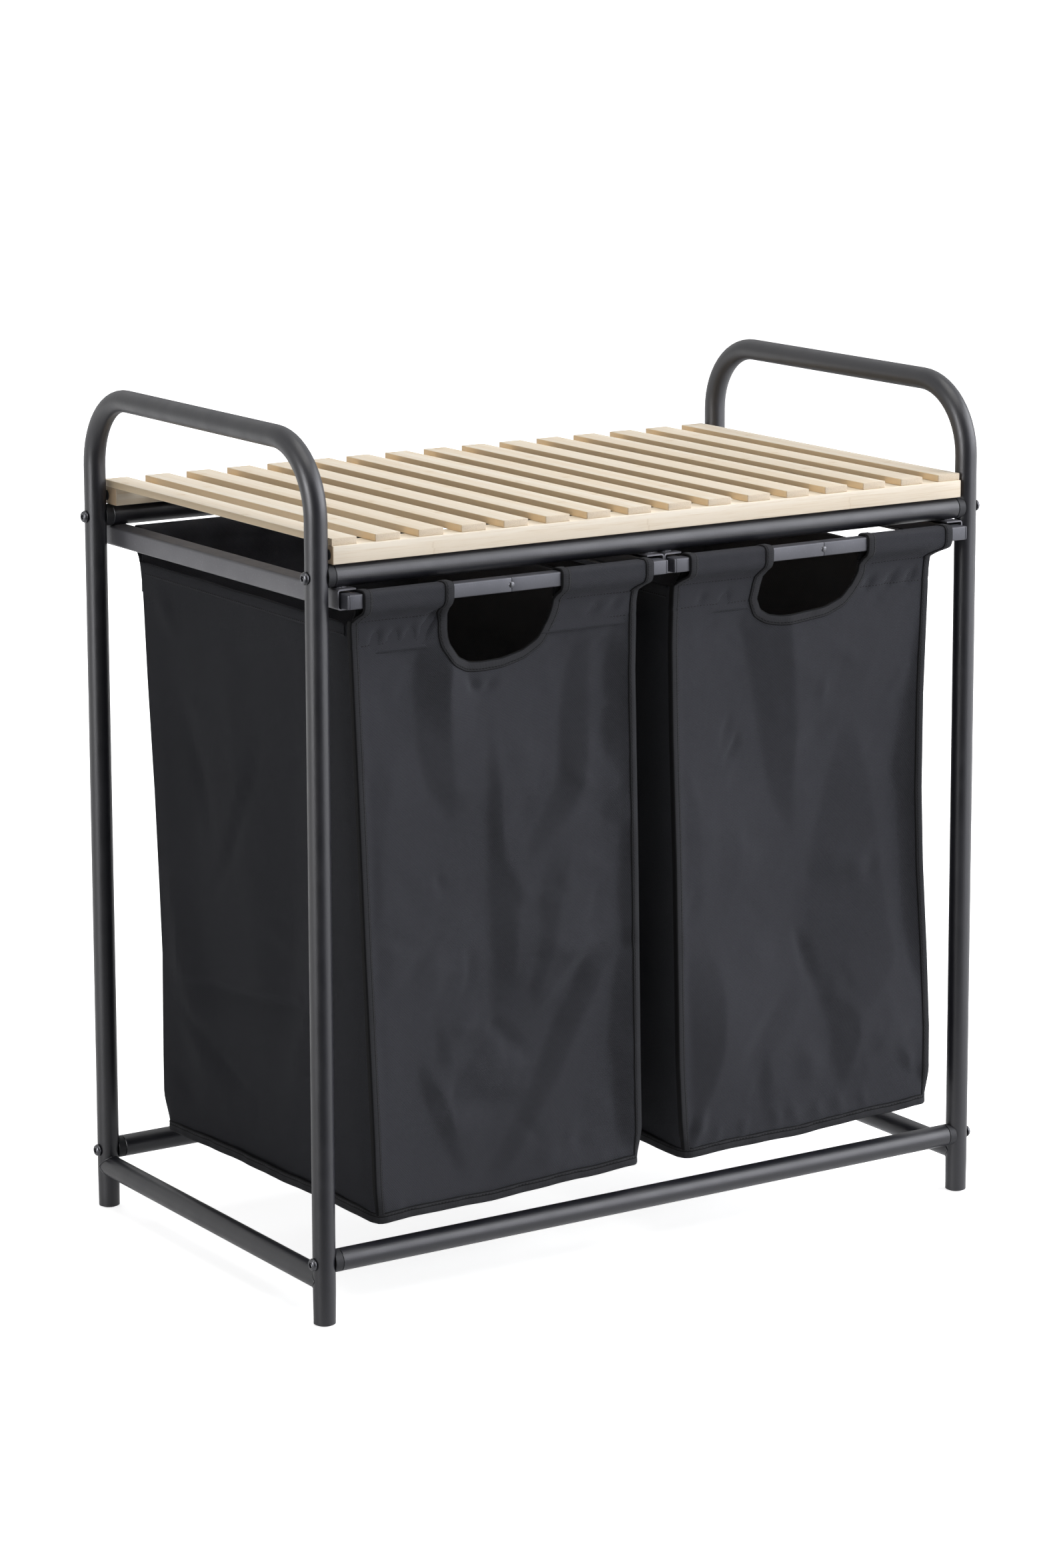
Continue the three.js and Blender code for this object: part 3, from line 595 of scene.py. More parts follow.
class HAMPER_OT_cross_tubes(bpy.types.Operator):
    """Run the four cross tubes with their saddle spacers and bolts"""
    bl_idname = "hamper.cross_tubes"
    bl_label = "Cross tubes"

    def execute(self, context):
        look = finishes()
        edge, bore_depth = 0.4, 12
        half = [
            (-CROSS_HALF + bore_depth, TUBE_BORE), (-CROSS_HALF, TUBE_BORE), (-CROSS_HALF, TUBE_RADIUS - edge),
            (-CROSS_HALF + edge, TUBE_RADIUS)]
        profile = half + [(a, TUBE_RADIUS) for a in np.linspace(-280, 280, 9)] + [(-a, r) for a, r in reversed(half)]
        # Bolt: shank, collar, domed head and hex socket, as distance from the middle and radius
        head = [(303.2, 0), (303.2, 2.9), (338.8, 2.9), (338.8, 5.0), (339.0, 5.3), (339.75, 5.3), (339.95, 5.1)]
        turn = np.linspace(0.12, 1.0, 8) * math.pi / 2
        head += [(340.0 + 2.1 * math.sin(t), 2.85 + 2.1 * math.cos(t)) for t in turn]
        head += [(342.0, 2.45), (341.6, 2.3), (340.15, 2.3), (340.0, 2.1), (339.8, 0)]
        six = [0] * (len(head) - 5) + [0.8, 1, 1, 1, 0]
        for level, z in CROSS_TUBES.items():
            for end, y in ENDS.items():
                Shape().grid(turned(profile, (0, y, z), 0)).object(
                    f"cross_tube_{level}_{end}", look["frame"], "frame", "frame_steel", [f"{level}_tube_{end}"])
                for side, sign in SIDES.items():
                    place = f"{level}_{end}_{side}"
                    Shape().grid(saddle_spacer(sign, y, z)).object(
                        f"moulded_spacer_{place}", look["moulding"], "frame", "black_plastic", [f"spacer_{place}"])
                    Shape().grid(turned(head, (0, y, z), 0, sign, 48, six)).object(
                        f"socket_bolt_{place}", look["bolt"], "frame", "bolt_steel", [f"bolt_{place}"], angle=28)
        return {"FINISHED"}


class HAMPER_OT_bamboo_top(bpy.types.Operator):
    """Lay the sixteen slats on the two beams, with the pegs that carry the beams"""
    bl_idname = "hamper.bamboo_top"
    bl_label = "Bamboo top"

    def execute(self, context):
        look = finishes()
        # Peg: pin, collar and head, as distance from the middle and radius
        pin = [
            (302.7, 0), (302.7, 2.4), (303.4, 3.0), (317.7, 3.0), (317.7, 4.0), (317.95, 4.4), (318.95, 4.4),
            (319.2, 4.1), (319.2, 3.0), (324.9, 3.0), (325.2, 2.6), (325.2, 0)]
        for end in ENDS:
            Shape().grid(rounded_bar(*box_mm(f"beam_{end}"), 0.7, 0, 0.5, 4, 24)).object(
                f"bamboo_beam_{end}", look["beam"], "frame", "bamboo", [f"beam_{end}"], angle=35)
            for side, sign in SIDES.items():
                low, high = box_mm(f"beam_peg_{end}_{side}")
                Shape().grid(turned(pin, (0, *(low + high)[1:] / 2), 0, sign, 40)).object(
                    f"turned_peg_{end}_{side}", look["moulding"], "frame", "black_plastic",
                    [f"beam_peg_{end}_{side}"])
        chance = np.random.default_rng(7)
        for number in range(SLAT_COUNT):
            name = f"slat_{number + 1:02d}"
            low, high = box_mm(name)
            lean, phase = chance.uniform(-0.12, 0.12), chance.uniform(0, TAU)

            def wander(place):
                share = (place - low[1]) / SLAT_LENGTH
                return lean * np.sin(share * TAU * 0.5 + phase) * np.sin(np.clip(share, 0, 1) * math.pi)

            Shape().grid(rounded_bar(low, high, 0.55, 1, 0.45, 4, 20, wander)).object(
                f"bamboo_{name}", look["slat"], "frame", "bamboo", [name], angle=35)
        return {"FINISHED"}


def channel(outer_x, inner_x, z_low, z_high, thickness=RAIL_WALL, radius=2.5, steps=7):
    """Middle line of an open channel section, lip to lip over two bends, with its outward directions."""
    way = 1 if outer_x > inner_x else -1
    half = thickness / 2
    web, bend = outer_x - way * half, radius - half
    low, high = z_low + half, z_high - half
    turn = np.linspace(0, math.pi / 2, steps)
    sine, cosine = np.sin(turn), np.cos(turn)
    bottom = np.stack([web - way * bend + way * bend * sine, low + bend - bend * cosine], -1)
    top = np.stack([web - way * bend + way * bend * cosine, high - bend + bend * sine], -1)
    line = np.concatenate([[[inner_x, low]], bottom, top, [[inner_x, high]]])
    down, up = np.stack([way * sine, -cosine], -1), np.stack([way * cosine, sine], -1)
    return line, np.concatenate([[[0, -1]], down, up, [[0, 1]]])


def ribbon_solid(line, normal, thickness, start, stop, stations=6):
    """A strip section with thickness carried along Y: outer and inner sheet, both lips and both end faces."""
    outer, inner = line + normal * thickness / 2, line - normal * thickness / 2
    section = np.concatenate([outer, inner[::-1], outer[:1]])
    wall = np.empty((stations, len(section), 3))
    wall[..., 0], wall[..., 2] = section.T[:, None]
    wall[..., 1] = np.linspace(start, stop, stations)[:, None]
    grids = [wall]
    for y in (start, stop):
        cap = np.full((2, len(line), 3), float(y))
        cap[..., ::2] = outer, inner
        grids.append(cap)
    return grids


def weld(centre, size, lumps=0.12, count=24):
    """A weld bead: a long rounded lump whose radius ripples along its length."""
    along = np.linspace(-1, 1, 17)[:, None]
    angle = circle(count)
    radius = np.sqrt(np.clip(1 - along**2, 0, 1)) * (1 + lumps * np.sin(along * 14))
    lump = np.stack([along + 0 * angle, radius * np.cos(angle), radius * np.sin(angle)], -1)
    return np.array(centre) + np.array(size) * lump


class HAMPER_OT_rails(bpy.types.Operator):
    """Fold the four runner rails, with their stops and the welds under the top tubes"""
    bl_idname = "hamper.rails"
    bl_label = "Runner rails"

    def execute(self, context):
        tab_reach, tab_inset, weld_in, weld_shift = 10, 1.0, 8.5, 2.6
        for side in SIDES:
            for reach in ("outer", "inner"):
                name = f"rail_{side}_{reach}"
                low, high = box_mm(name)
                near, far = sorted((low[0], high[0]), key=abs)
                web, lip = (far, near) if reach == "outer" else (near, far)
                way = 1 if web > lip else -1
                shape = Shape()
                for grid in ribbon_solid(*channel(web, lip, low[2], high[2]), RAIL_WALL, low[1], high[1]):
                    shape.grid(grid)
                left, right = sorted((web - way * tab_inset, web - way * tab_reach))
                shape.grid(rounded_bar(
                    (left, STOP_TAB[0], low[2] + tab_inset), (right, STOP_TAB[1], high[2] - tab_inset),
                    0.3, 1, 0.3, 2, 1))
                for y in ENDS.values():
                    for shift in (-weld_shift, weld_shift):
                        shape.grid(weld((web - way * weld_in, y + shift, high[2] + 0.1), (5.2, 1.25, 0.75)))
                shape.object(f"folded_{name}", finishes()["rail"], "frame", "rail_steel", [name], angle=50)
        return {"FINISHED"}


class HAMPER_OT_hoops(bpy.types.Operator):
    """Build the square-tube hoops of both bins with their end caps, joint sleeves and spring buttons"""
    bl_idname = "hamper.hoops"
    bl_label = "Bin hoops"

    def execute(self, context):
        look = finishes()
        # Button: domed cap and stem, as distance behind the face of the bar and radius
        dome = [
            (-1.0, 0), (-0.97, 0.7), (-0.82, 1.5), (-0.5, 2.25), (-0.05, 2.68), (0.5, 2.75), (6.0, 2.75), (6.0, 0)]
        joint, cap_gap, cap_inset, lap, spigot_span = 0.15, 0.12, 0.08, 0.3, (-19, 6)
        for side, sign in SIDES.items():
            centre = sign * BIN_X

            def bar(first, last, front, rear, inset, edge, axis, end_edge, steps, stations):
                """A rounded bar between two places across the bin and two along it."""
                left, right = sorted((centre + first, centre + last))
                shape.grid(rounded_bar(
                    (left, front, BAR_BASE + inset), (right, rear, BAR_TOP - inset),
                    edge, axis, end_edge, steps, stations))

            for half, way in (("socket", -1), ("spigot", 1)):
                shape = Shape()
                cap = way * HOOP_HALF
                corner = way * (HOOP_HALF - CAP_LENGTH)
                for front in BAR_FRONTS:
                    bar(way * joint, corner, front, front + BAR_SIZE, 0, 1.1, 0, 0.25, 4, 12)
                    bar(corner + way * cap_gap, cap, front + cap_inset, front + BAR_SIZE - cap_inset, cap_inset,
                        1.3, 0, 0.6, 4, 1)
                bar(way * (HOOP_HALF - BAR_SIZE), cap, HOOP_FRONT + BAR_SIZE - lap, HOOP_REAR - BAR_SIZE + lap, 0,
                    1.1, 1, 0.2, 4, 12)
                if half == "spigot":
                    for front in BAR_FRONTS:
                        bar(*spigot_span, front + SPIGOT_INSET, front + BAR_SIZE - SPIGOT_INSET, SPIGOT_INSET,
                            0.8, 0, 0.3, 3, 1)
                shape.object(
                    f"hoop_{side}_{half}", look["hoop"], f"{side}_bin", "rail_steel",
                    [f"{side}_bin_hoop_{half}_half"], angle=50)
            Shape().grid(turned(dome, (centre, HOOP_FRONT, BAR_BASE + BAR_SIZE / 2), 1, 1, 32)).object(
                f"spring_button_{side}", look["bolt"], f"{side}_button", "bolt_steel", [f"{side}_bin_hoop_button"])
        return {"FINISHED"}


# Bags: heights of the floor, the hem and the rows that meet the cut-out, and the planes of both panels. Past
# FLAP_FROM and INNER_FROM a distance up the front lies behind the bar, on the flap.
BAG_BASE = 84.0
BAG_HEM = 582.0
CUT_ROW = 549.0
PANEL_Y = -193.5
REAR_Y = 172.0
HEM_BLEND = 15.0
LOOP_START = 60
FLAP_FROM = 632
INNER_FROM = 640
REAR_SLEEVE_END = -140.0
STITCH_ROWS = (583.5, 563.5)
SIDE_STITCH = 574.0
# Tape along the front sleeve: from the flap over the bar to the foot of its face
TAPE_START = 650.0
TAPE_FACE = 599.0
SEAM_ANGLE = 60
# Place across the tape of each column of a folded section, 10 at its inner edge and 0 at the fold
TAPE_ACROSS = [10, 9.6, 8, 5, 2, 0.5, 0, 0, 0, 0]
GRID_X = np.arange(-150.0, 151.0)
GRID_Z = np.arange(80.0, 596.0, 2.0)
# Per bag: both front seams as heights and places across, the ends of the sleeve, how far each corner of the floor
# hangs, how far the front corners droop, and the cut-out as places across, heights and the knots where its floor
# starts and ends
CORNERS = {
    "left": {
        "front_left": (
            [80, 150, 215, 310, 380, 437, 514, 570, 583],
            [-125.4, -127.6, -130.4, -134.6, -137.2, -139.4, -142.6, -144.8, -145.6]),
        "front_right": ([80, 171, 345, 517, 574, 583], [137.4, 135.4, 132.8, 129.2, 130.2, 131.4]),
        "sleeve": (-140.6, 139.2),
        "lift": (-3.0, 4.5, -1.0, -4.0),
        "droop": (0.8, 1.2),
        "cut": (
            [-56.6, -56.4, -55.4, -56.2, -53.6, -45.6, -34.0, -21.7, -1.1, 19.9, 34.1, 41.6, 47.0, 48.6, 48.2],
            [612, 598.0, 586.0, 570.0, 558.0, 546.0, 540.4, 539.2, 539.6, 544.2, 552.6, 565.5, 580.0, 598.0, 612],
            5, 10),
    },
    "right": {
        "front_left": ([80, 165, 340, 455, 536, 583], [-135.1, -140.1, -143.9, -147.9, -149.4, -147.9]),
        "front_right": (
            [80, 92, 123, 160, 227, 311, 378, 462, 529, 572, 583],
            [131.0, 130.2, 129.1, 128.9, 125.4, 119.7, 117.2, 117.6, 120.0, 121.6, 122.6]),
        "sleeve": (-139.6, 137.6),
        "lift": (0.5, 8.0, 3.0, -3.0),
        "droop": (0.8, 1.2),
        "cut": (
            [-54.4, -54.2, -54.6, -59.4, -61.6, -58.0, -49.0, -37.5, -26.5, 9.0, 26.8, 37.0, 44.6, 46.6, 45.6],
            [612, 598.0, 588.0, 575.0, 564.6, 554.6, 549.2, 547.2, 547.2, 550.2, 556.6, 566.4, 578.0, 592.0, 612],
            5, 10),
    },
}
# Rear edge line as heights and depths, and the left seam of the rear panel as heights and places across
REAR_EDGE = (
    [80, 112, 145, 237, 297, 380, 480, 548, 577, 590],
    [148.2, 149.6, 149.6, 149.0, 152.2, 157.3, 165.0, 168.7, 171.5, 172.0])
REAR_SIDE = ([80, 145, 240, 380, 560, 583], [-138.4, -138.5, -138.0, -138.4, -140.0, -141.0])
# Leaning strips of the front panels: points of height, left and right place, and the slope across the strip
STRIPS = {
    "left": [
        [(406, -206, -200, 0), (418, -216, -200, 0.15), (437, -228, -202, 0.18), (458, -234, -205, 0.18),
         (478, -237, -207, 0.22), (498, -239, -210, 0.3), (518, -241, -212, 0.4), (542, -240, -211, 0.42),
         (553, -237, -217, 0.3), (559, -235, -219, 0)],
        [(474, -204, -181, 0), (494, -208, -181, -0.08), (515, -210, -188, -0.12), (537, -209, -194, -0.2),
         (544, -208, -197, 0)],
        [(227, -163, -157, 0), (243, -164, -131, 0.15), (262, -165, -138, 0.12), (268, -165, -146, 0.22),
         (289, -166, -145, 0.27), (309, -166, -144, 0.27), (330, -166, -140, 0.16), (334, -167, -134, 0.26),
         (349, -167, -142, 0.26), (370, -167, -153, 0.3), (390, -167, -156, 0.38), (407, -168, -156, 0.38),
         (439, -168, -158, 0.26), (471, -168, -163, 0.12), (509, -169, -165, 0)],
        [(364, -132, -130, 0), (370, -131, -125, 0.15), (385, -127, -107, 0.22), (399, -116, -91, 0.26),
         (422, -101, -77, 0.3), (441, -96, -73, 0.32), (461, -95, -70, 0.3), (489, -93, -69, 0.26),
         (518, -90, -69, 0.22), (542, -86, -71, 0.2), (562, -82, -76, 0)],
        [(238, -129, -126, 0), (255, -128, -118, 0.24), (279, -124, -112, 0.22), (303, -121, -106, 0.2),
         (327, -119, -101, 0.22), (350, -114, -94, 0.2), (378, -104, -86, 0)],
        [(230, -124, -113, 0), (244, -114, -94, -0.25), (259, -102, -83, -0.28), (274, -90, -74, -0.28),
         (283, -85, -33, -0.3), (290, -76, -35, -0.25), (296, -69, -36, 0)],
        [(91, -187, -175, 0), (107, -175, -156, 0.2), (125, -158, -139, 0.24), (143, -146, -126, 0.24),
         (161, -132, -113, 0.26), (180, -122, -99, 0.28), (199, -112, -89, 0.3), (218, -102, -78, 0.34),
         (233, -93, -69, 0.34), (248, -83, -62, 0.36), (264, -78, -56, 0.32), (274, -70, -32, 0.22),
         (277, -62, -31, 0)],
        [(88, -31, -27, 0), (114, -41, -27, 0.42), (147, -45, -28, 0.45), (176, -44, -28, 0.4), (193, -50, -28, 0.45),
         (218, -46, -28, 0.42), (251, -45, -28, 0.38), (271, -42, -29, 0.36), (279, -35, -29, 0.4),
         (312, -41, -29, 0.42), (353, -40, -29, 0.4), (382, -39, -30, 0.3), (391, -54, -30, 0.35),
         (398, -57, -30, 0.4), (406, -54, -30, 0.35), (415, -39, -30, 0.25), (440, -44, -31, 0.2),
         (448, -53, -31, 0.42), (465, -55, -30, 0.45), (485, -52, -30, 0.42), (492, -46, -31, 0.2),
         (497, -52, -31, 0.45), (518, -53, -31, 0.45), (534, -52, -31, 0.42), (550, -48, -31, 0)],
        [(166, -278, -272, 0), (206, -279, -267, 0.06), (266, -281, -273, 0.04), (294, -281, -266, 0.1),
         (306, -282, -265, 0.14), (326, -283, -272, 0.08), (358, -284, -274, 0.1), (378, -285, -277, 0.14),
         (394, -285, -274, 0.1), (421, -285, -271, 0.06), (437, -286, -266, 0.14), (456, -287, -264, 0.12),
         (473, -287, -282, 0)],
        [(189, -213, -205, 0), (204, -220, -207, 0.2), (225, -221, -210, 0.2), (244, -223, -219, 0)],
        [(93, -194, -188, 0), (121, -207, -197, 0.16), (143, -219, -205, 0.2), (165, -229, -209, 0.3),
         (178, -234, -216, 0.3), (195, -238, -228, 0.24), (214, -241, -236, 0)],
        [(231, -188, -165, 0), (248, -196, -167, -0.04), (288, -189, -169, -0.06), (337, -195, -169, -0.05),
         (352, -182, -169, 0)],
    ],
    "right": [
        [(344, 147, 149, 0), (368, 133, 147, 0.16), (394, 120, 144, 0.2), (437, 108, 142, 0.2), (479, 100, 138, 0.22),
         (522, 89, 133, 0.22), (545, 82, 130, 0.2), (552, 85, 129, 0)],
        [(180, 191, 207, 0), (199, 172, 228, 0.18), (215, 169, 244, 0.16), (232, 165, 252, 0.16),
         (258, 162, 246, 0.16), (276, 161, 243, 0.15), (301, 163, 239, 0.15), (327, 166, 236, 0.15),
         (360, 174, 230, 0.17), (386, 180, 226, 0.18), (411, 185, 218, 0.15), (428, 188, 211, 0.12),
         (449, 194, 202, 0)],
        [(117, 189, 194, 0), (132, 186, 199, 0.2), (149, 181, 205, 0.26), (166, 181, 209, 0.26),
         (183, 177, 208, 0.24), (197, 172, 198, 0.16), (209, 168, 181, 0)],
        [(191, 279, 286, 0), (222, 270, 284, 0.3), (248, 265, 283, 0.36), (292, 262, 281, 0.4), (335, 259, 278, 0.42),
         (369, 258, 277, 0.45), (395, 253, 277, 0.45), (429, 257, 277, 0.4), (462, 262, 278, 0.34),
         (496, 267, 279, 0.26), (538, 271, 279, 0)],
        [(113, 33, 38, 0), (127, 33, 45, 0.24), (147, 32, 55, 0.26), (172, 32, 62, 0.26), (197, 31, 65, 0.24),
         (222, 30, 65, 0.22), (247, 29, 59, 0.16), (269, 28, 44, 0)],
        [(274, 27, 42, 0), (324, 26, 44, 0.08), (365, 25, 42, 0.1), (415, 25, 34, 0)],
        [(148, 86, 99, 0), (159, 91, 109, 0.14), (170, 100, 122, 0.16), (185, 111, 137, 0.14), (204, 127, 147, 0.12),
         (223, 144, 151, 0)],
        [(158, 79, 89, 0), (170, 82, 95, -0.1), (188, 95, 110, -0.12), (207, 112, 126, -0.12), (219, 129, 143, 0)],
        [(98, 109, 113, 0), (124, 104, 116, 0.2), (145, 103, 114, 0.2), (173, 107, 112, 0)],
        [(451, 165, 195, 0), (471, 180, 211, 0.05), (495, 188, 221, 0.07), (536, 195, 237, 0)],
        [(95, 284, 287, 0), (115, 268, 279, 0.3), (129, 257, 268, 0.25), (153, 245, 251, 0)],
        [(100, 284, 287, 0), (114, 277, 284, -0.2), (133, 265, 274, -0.2), (149, 255, 266, 0)],
        [(221, 147, 155, 0), (231, 147, 165, 0.06), (269, 151, 161, 0.08), (307, 151, 160, 0.05), (341, 150, 154, 0)],
    ],
}
# Creases: points of place across, height, depth, and the width on the left and on the right
FOLDS = {
    "left": [
        [(-162, 228, 0, 10, 12), (-179, 207, -2.2, 26, 22), (-197, 188, -2.4, 24, 26), (-211, 169, 0, 12, 14)],
        [(-203, 190, 0, 10, 10), (-179, 192, 2.2, 14, 16), (-146, 192, 2.6, 14, 18), (-125, 191, 0.5, 8, 10)],
        [(-228, 168, 0, 8, 8), (-205, 168, -2.6, 16, 12), (-166, 163, -2.8, 18, 12), (-131, 161, 0, 10, 8)],
        [(-163, 228, -2, 8, 8), (-144, 210, -2.2, 12, 10), (-125, 191, 0, 8, 8)],
        [(-223, 368, 0, 4, 4), (-219, 358, -1.5, 4, 7), (-212, 343, 0, 5, 5)],
        [(-192, 305, 0, 4, 4), (-190, 290, -1.4, 5, 8), (-190, 272, -1.4, 5, 7), (-199, 252, 0, 5, 5)],
        [(-211, 240, 0, 4, 4), (-194, 230, 1.1, 6, 6), (-172, 228, 0, 5, 5)],
        [(-165, 217, 0, 5, 5), (-184, 196, 1, 7, 7), (-203, 181, 0, 5, 5)],
        [(-285, 559, 0, 3, 4), (-281, 570, -2, 5, 5), (-277, 579, 0, 3, 4)],
        [(-266, 559, 0, 3, 4), (-264, 569, -2.2, 5, 5), (-260, 578, 0, 3, 4)],
        [(-251, 558, 0, 3, 4), (-248, 569, -2.2, 5, 5), (-244, 578, 0, 3, 4)],
        [(-237, 560, 0, 4, 4), (-234, 572, -2.4, 6, 5), (-224, 584, -2.6, 7, 5), (-220, 593, 0, 4, 4)],
        [(-80, 566, 0, 4, 4), (-68, 574, -1.3, 5, 5), (-60, 580, 0, 4, 4)],
        [(-59, 567, 0, 4, 4), (-48, 575, -1.3, 5, 5), (-39, 581, 0, 4, 4)],
        [(-194, 530, 0, 5, 5), (-186, 520, -2.2, 6, 6), (-178, 510, -0.5, 5, 5)],
        [(-178, 510, -0.5, 5, 5), (-169, 518, -2, 6, 6), (-162, 525, 0, 5, 5)],
        [(-92, 442, 0, 6, 6), (-83, 433, 1.4, 8, 8), (-64, 419, 0, 6, 6)],
        [(-265, 103, 0, 5, 5), (-262, 92, 1.5, 6, 6), (-260, 84, 1, 5, 5)],
        [(-99, 100, 0, 5, 6), (-96, 89, 1.3, 6, 6), (-95, 83, 0.8, 5, 5)],
        [(-63, 106, 0, 5, 6), (-58, 93, 1.5, 6, 6), (-53, 85, 0.8, 5, 5)],
        [(-223, 311, 0, 14, 14), (-225, 287, 1.4, 20, 20), (-218, 258, 0, 14, 14)],
        [(-128, 475, 0, 14, 14), (-133, 455, 1.4, 20, 20), (-144, 441, 0, 12, 12)],
        [(-75, 162, 0, 14, 16), (-56, 142, 1.6, 18, 14), (-41, 121, 0, 10, 8)],
        [(-123, 125, 0, 12, 12), (-114, 109, 1.2, 14, 14), (-107, 93, 0, 10, 10)],
    ],
    "right": [
        [(149, 270, 0, 4, 6), (156, 248, -2.4, 8, 10), (161, 228, -1.6, 8, 10), (171, 205, 0, 6, 8)],
        [(187, 455, 0, 10, 10), (164, 440, -1.7, 14, 12), (140, 424, 0, 8, 8)],
        [(267, 132, 0, 5, 6), (277, 115, -2.6, 6, 6), (286, 99, -1, 4, 4)],
        [(45, 126, 0, 5, 6), (39, 108, 2.6, 7, 8), (32, 90, 1.6, 5, 6)],
        [(35, 119, 0, 4, 5), (29, 104, -2.2, 5, 6), (26, 88, -1, 4, 4)],
        [(116, 115, 0, 5, 5), (120, 106, 1.6, 6, 6), (122, 95, 1, 5, 5)],
        [(133, 116, 0, 5, 5), (139, 105, 1.7, 6, 6), (145, 94, 1, 5, 5)],
        [(161, 112, 0, 5, 5), (165, 102, 1.6, 6, 6), (170, 93, 1, 5, 5)],
        [(183, 113, 0, 5, 5), (189, 103, 1.6, 6, 6), (193, 93, 1, 5, 5)],
        [(209, 112, 0, 5, 5), (215, 103, 1.5, 6, 6), (219, 94, 1, 5, 5)],
        [(88, 111, 0, 6, 6), (86, 101, 1.6, 6, 6), (85, 92, 1, 5, 5)],
        [(61, 108, 0, 6, 6), (58, 98, 1.6, 6, 6), (56, 89, 1, 5, 5)],
        [(82, 451, 0, 3, 4), (79, 439, -1.7, 4, 7), (73, 431, -1.6, 4, 7), (65, 425, 0, 4, 5)],
        [(76, 472, 0, 4, 5), (69, 455, -1.2, 5, 7), (63, 436, 0, 4, 5)],
        [(172, 494, 0, 5, 5), (169, 478, 1, 7, 7), (166, 462, 0, 5, 5)],
        [(164, 311, 0, 14, 14), (190, 318, 1.6, 20, 22), (221, 319, 1.2, 16, 18), (242, 317, 0, 10, 10)],
        [(82, 376, 0, 16, 16), (86, 342, 1.6, 24, 24), (81, 305, 0, 16, 16)],
        [(98, 273, 0, 16, 16), (105, 251, 1.8, 24, 24), (113, 227, 0, 14, 14)],
        [(144, 170, 0, 10, 14), (157, 148, 2.4, 18, 20), (165, 124, 0, 12, 12)],
        [(222, 166, 0, 12, 12), (235, 156, 2.2, 16, 16), (253, 161, 2, 16, 14), (269, 172, 0, 10, 10)],
        [(58, 561, 0, 4, 4), (63, 568, -1.6, 5, 5), (69, 577, 0, 4, 4)],
        [(36, 562, 0, 4, 4), (39, 570, -1.2, 5, 5), (44, 578, 0, 4, 4)],
        [(207, 557, 0, 4, 4), (215, 567, -1.9, 6, 5), (224, 576, 0, 4, 4)],
        [(229, 558, 0, 4, 4), (239, 568, -1.9, 6, 5), (248, 577, 0, 4, 4)],
        [(252, 559, 0, 4, 4), (261, 569, -1.8, 6, 5), (269, 578, 0, 4, 4)],
    ],
}
# Creases of the side panels, with places across counted along the depth, and of the rear panel
SIDE_FOLDS = [
    [(-128, 560, 0, 30, 30), (-118, 480, -1.4, 44, 50), (-96, 380, -2.0, 50, 46), (-78, 250, -1.4, 44, 40),
     (-66, 190, 0, 30, 30)],
    [(-30, 570, 0, 30, 30), (-18, 470, 1.6, 50, 44), (0, 340, 1.8, 52, 44), (16, 230, 1.2, 40, 36),
     (24, 160, 0, 24, 24)],
    [(96, 560, 0, 26, 30), (84, 450, -2.0, 44, 50), (70, 330, -2.2, 50, 44), (62, 220, -1.4, 40, 36),
     (58, 140, 0, 20, 20)],
    [(-136, 214, 0, 7, 22), (-60, 222, -3.0, 7, 28), (20, 230, -3.6, 7, 30), (86, 237, -2.2, 7, 24),
     (120, 236, 0, 7, 20)],
    [(-130, 206, 0, 8, 12), (-84, 174, -3.0, 9, 16), (-32, 146, -2.4, 9, 14), (0, 140, 0, 8, 8)],
    [(-134, 142, 0, 10, 10), (-106, 113, -3.6, 14, 16), (-84, 96, 0, 10, 10)],
    [(-70, 300, 0, 6, 10), (-30, 352, -2.0, 8, 14), (8, 420, -2.2, 8, 16), (30, 470, 0, 6, 10)],
    [(-110, 470, 0, 10, 14), (-84, 410, -2.6, 14, 24), (-60, 350, 0, 10, 14)],
    [(126, 360, 0, 20, 20), (108, 280, 2.8, 34, 30), (74, 190, 2.8, 36, 30), (48, 120, 0, 20, 20)],
    [(-144, 330, 0, 16, 22), (-118, 240, 2.6, 26, 34), (-84, 160, 2.4, 26, 30), (-62, 100, 0, 14, 14)],
    [(-60, 150, 0, 8, 8), (-44, 118, 1.6, 12, 12), (-30, 94, 0.8, 8, 8)],
    [(4, 150, 0, 8, 8), (6, 118, -1.6, 12, 12), (10, 94, -0.8, 8, 8)],
    [(58, 140, 0, 8, 8), (54, 114, 1.6, 11, 12), (50, 94, 0.8, 8, 8)],
    [(-150, 575, 0, 8, 8), (-132, 548, 1.8, 14, 14), (-110, 520, 0, 8, 8)],
    [(-104, 480, 0, 8, 8), (-70, 460, 1.2, 14, 14), (-30, 466, 0, 8, 8)],
    [(20, 300, 0, 8, 8), (60, 286, 1.2, 12, 14), (104, 292, 0, 8, 8)],
]
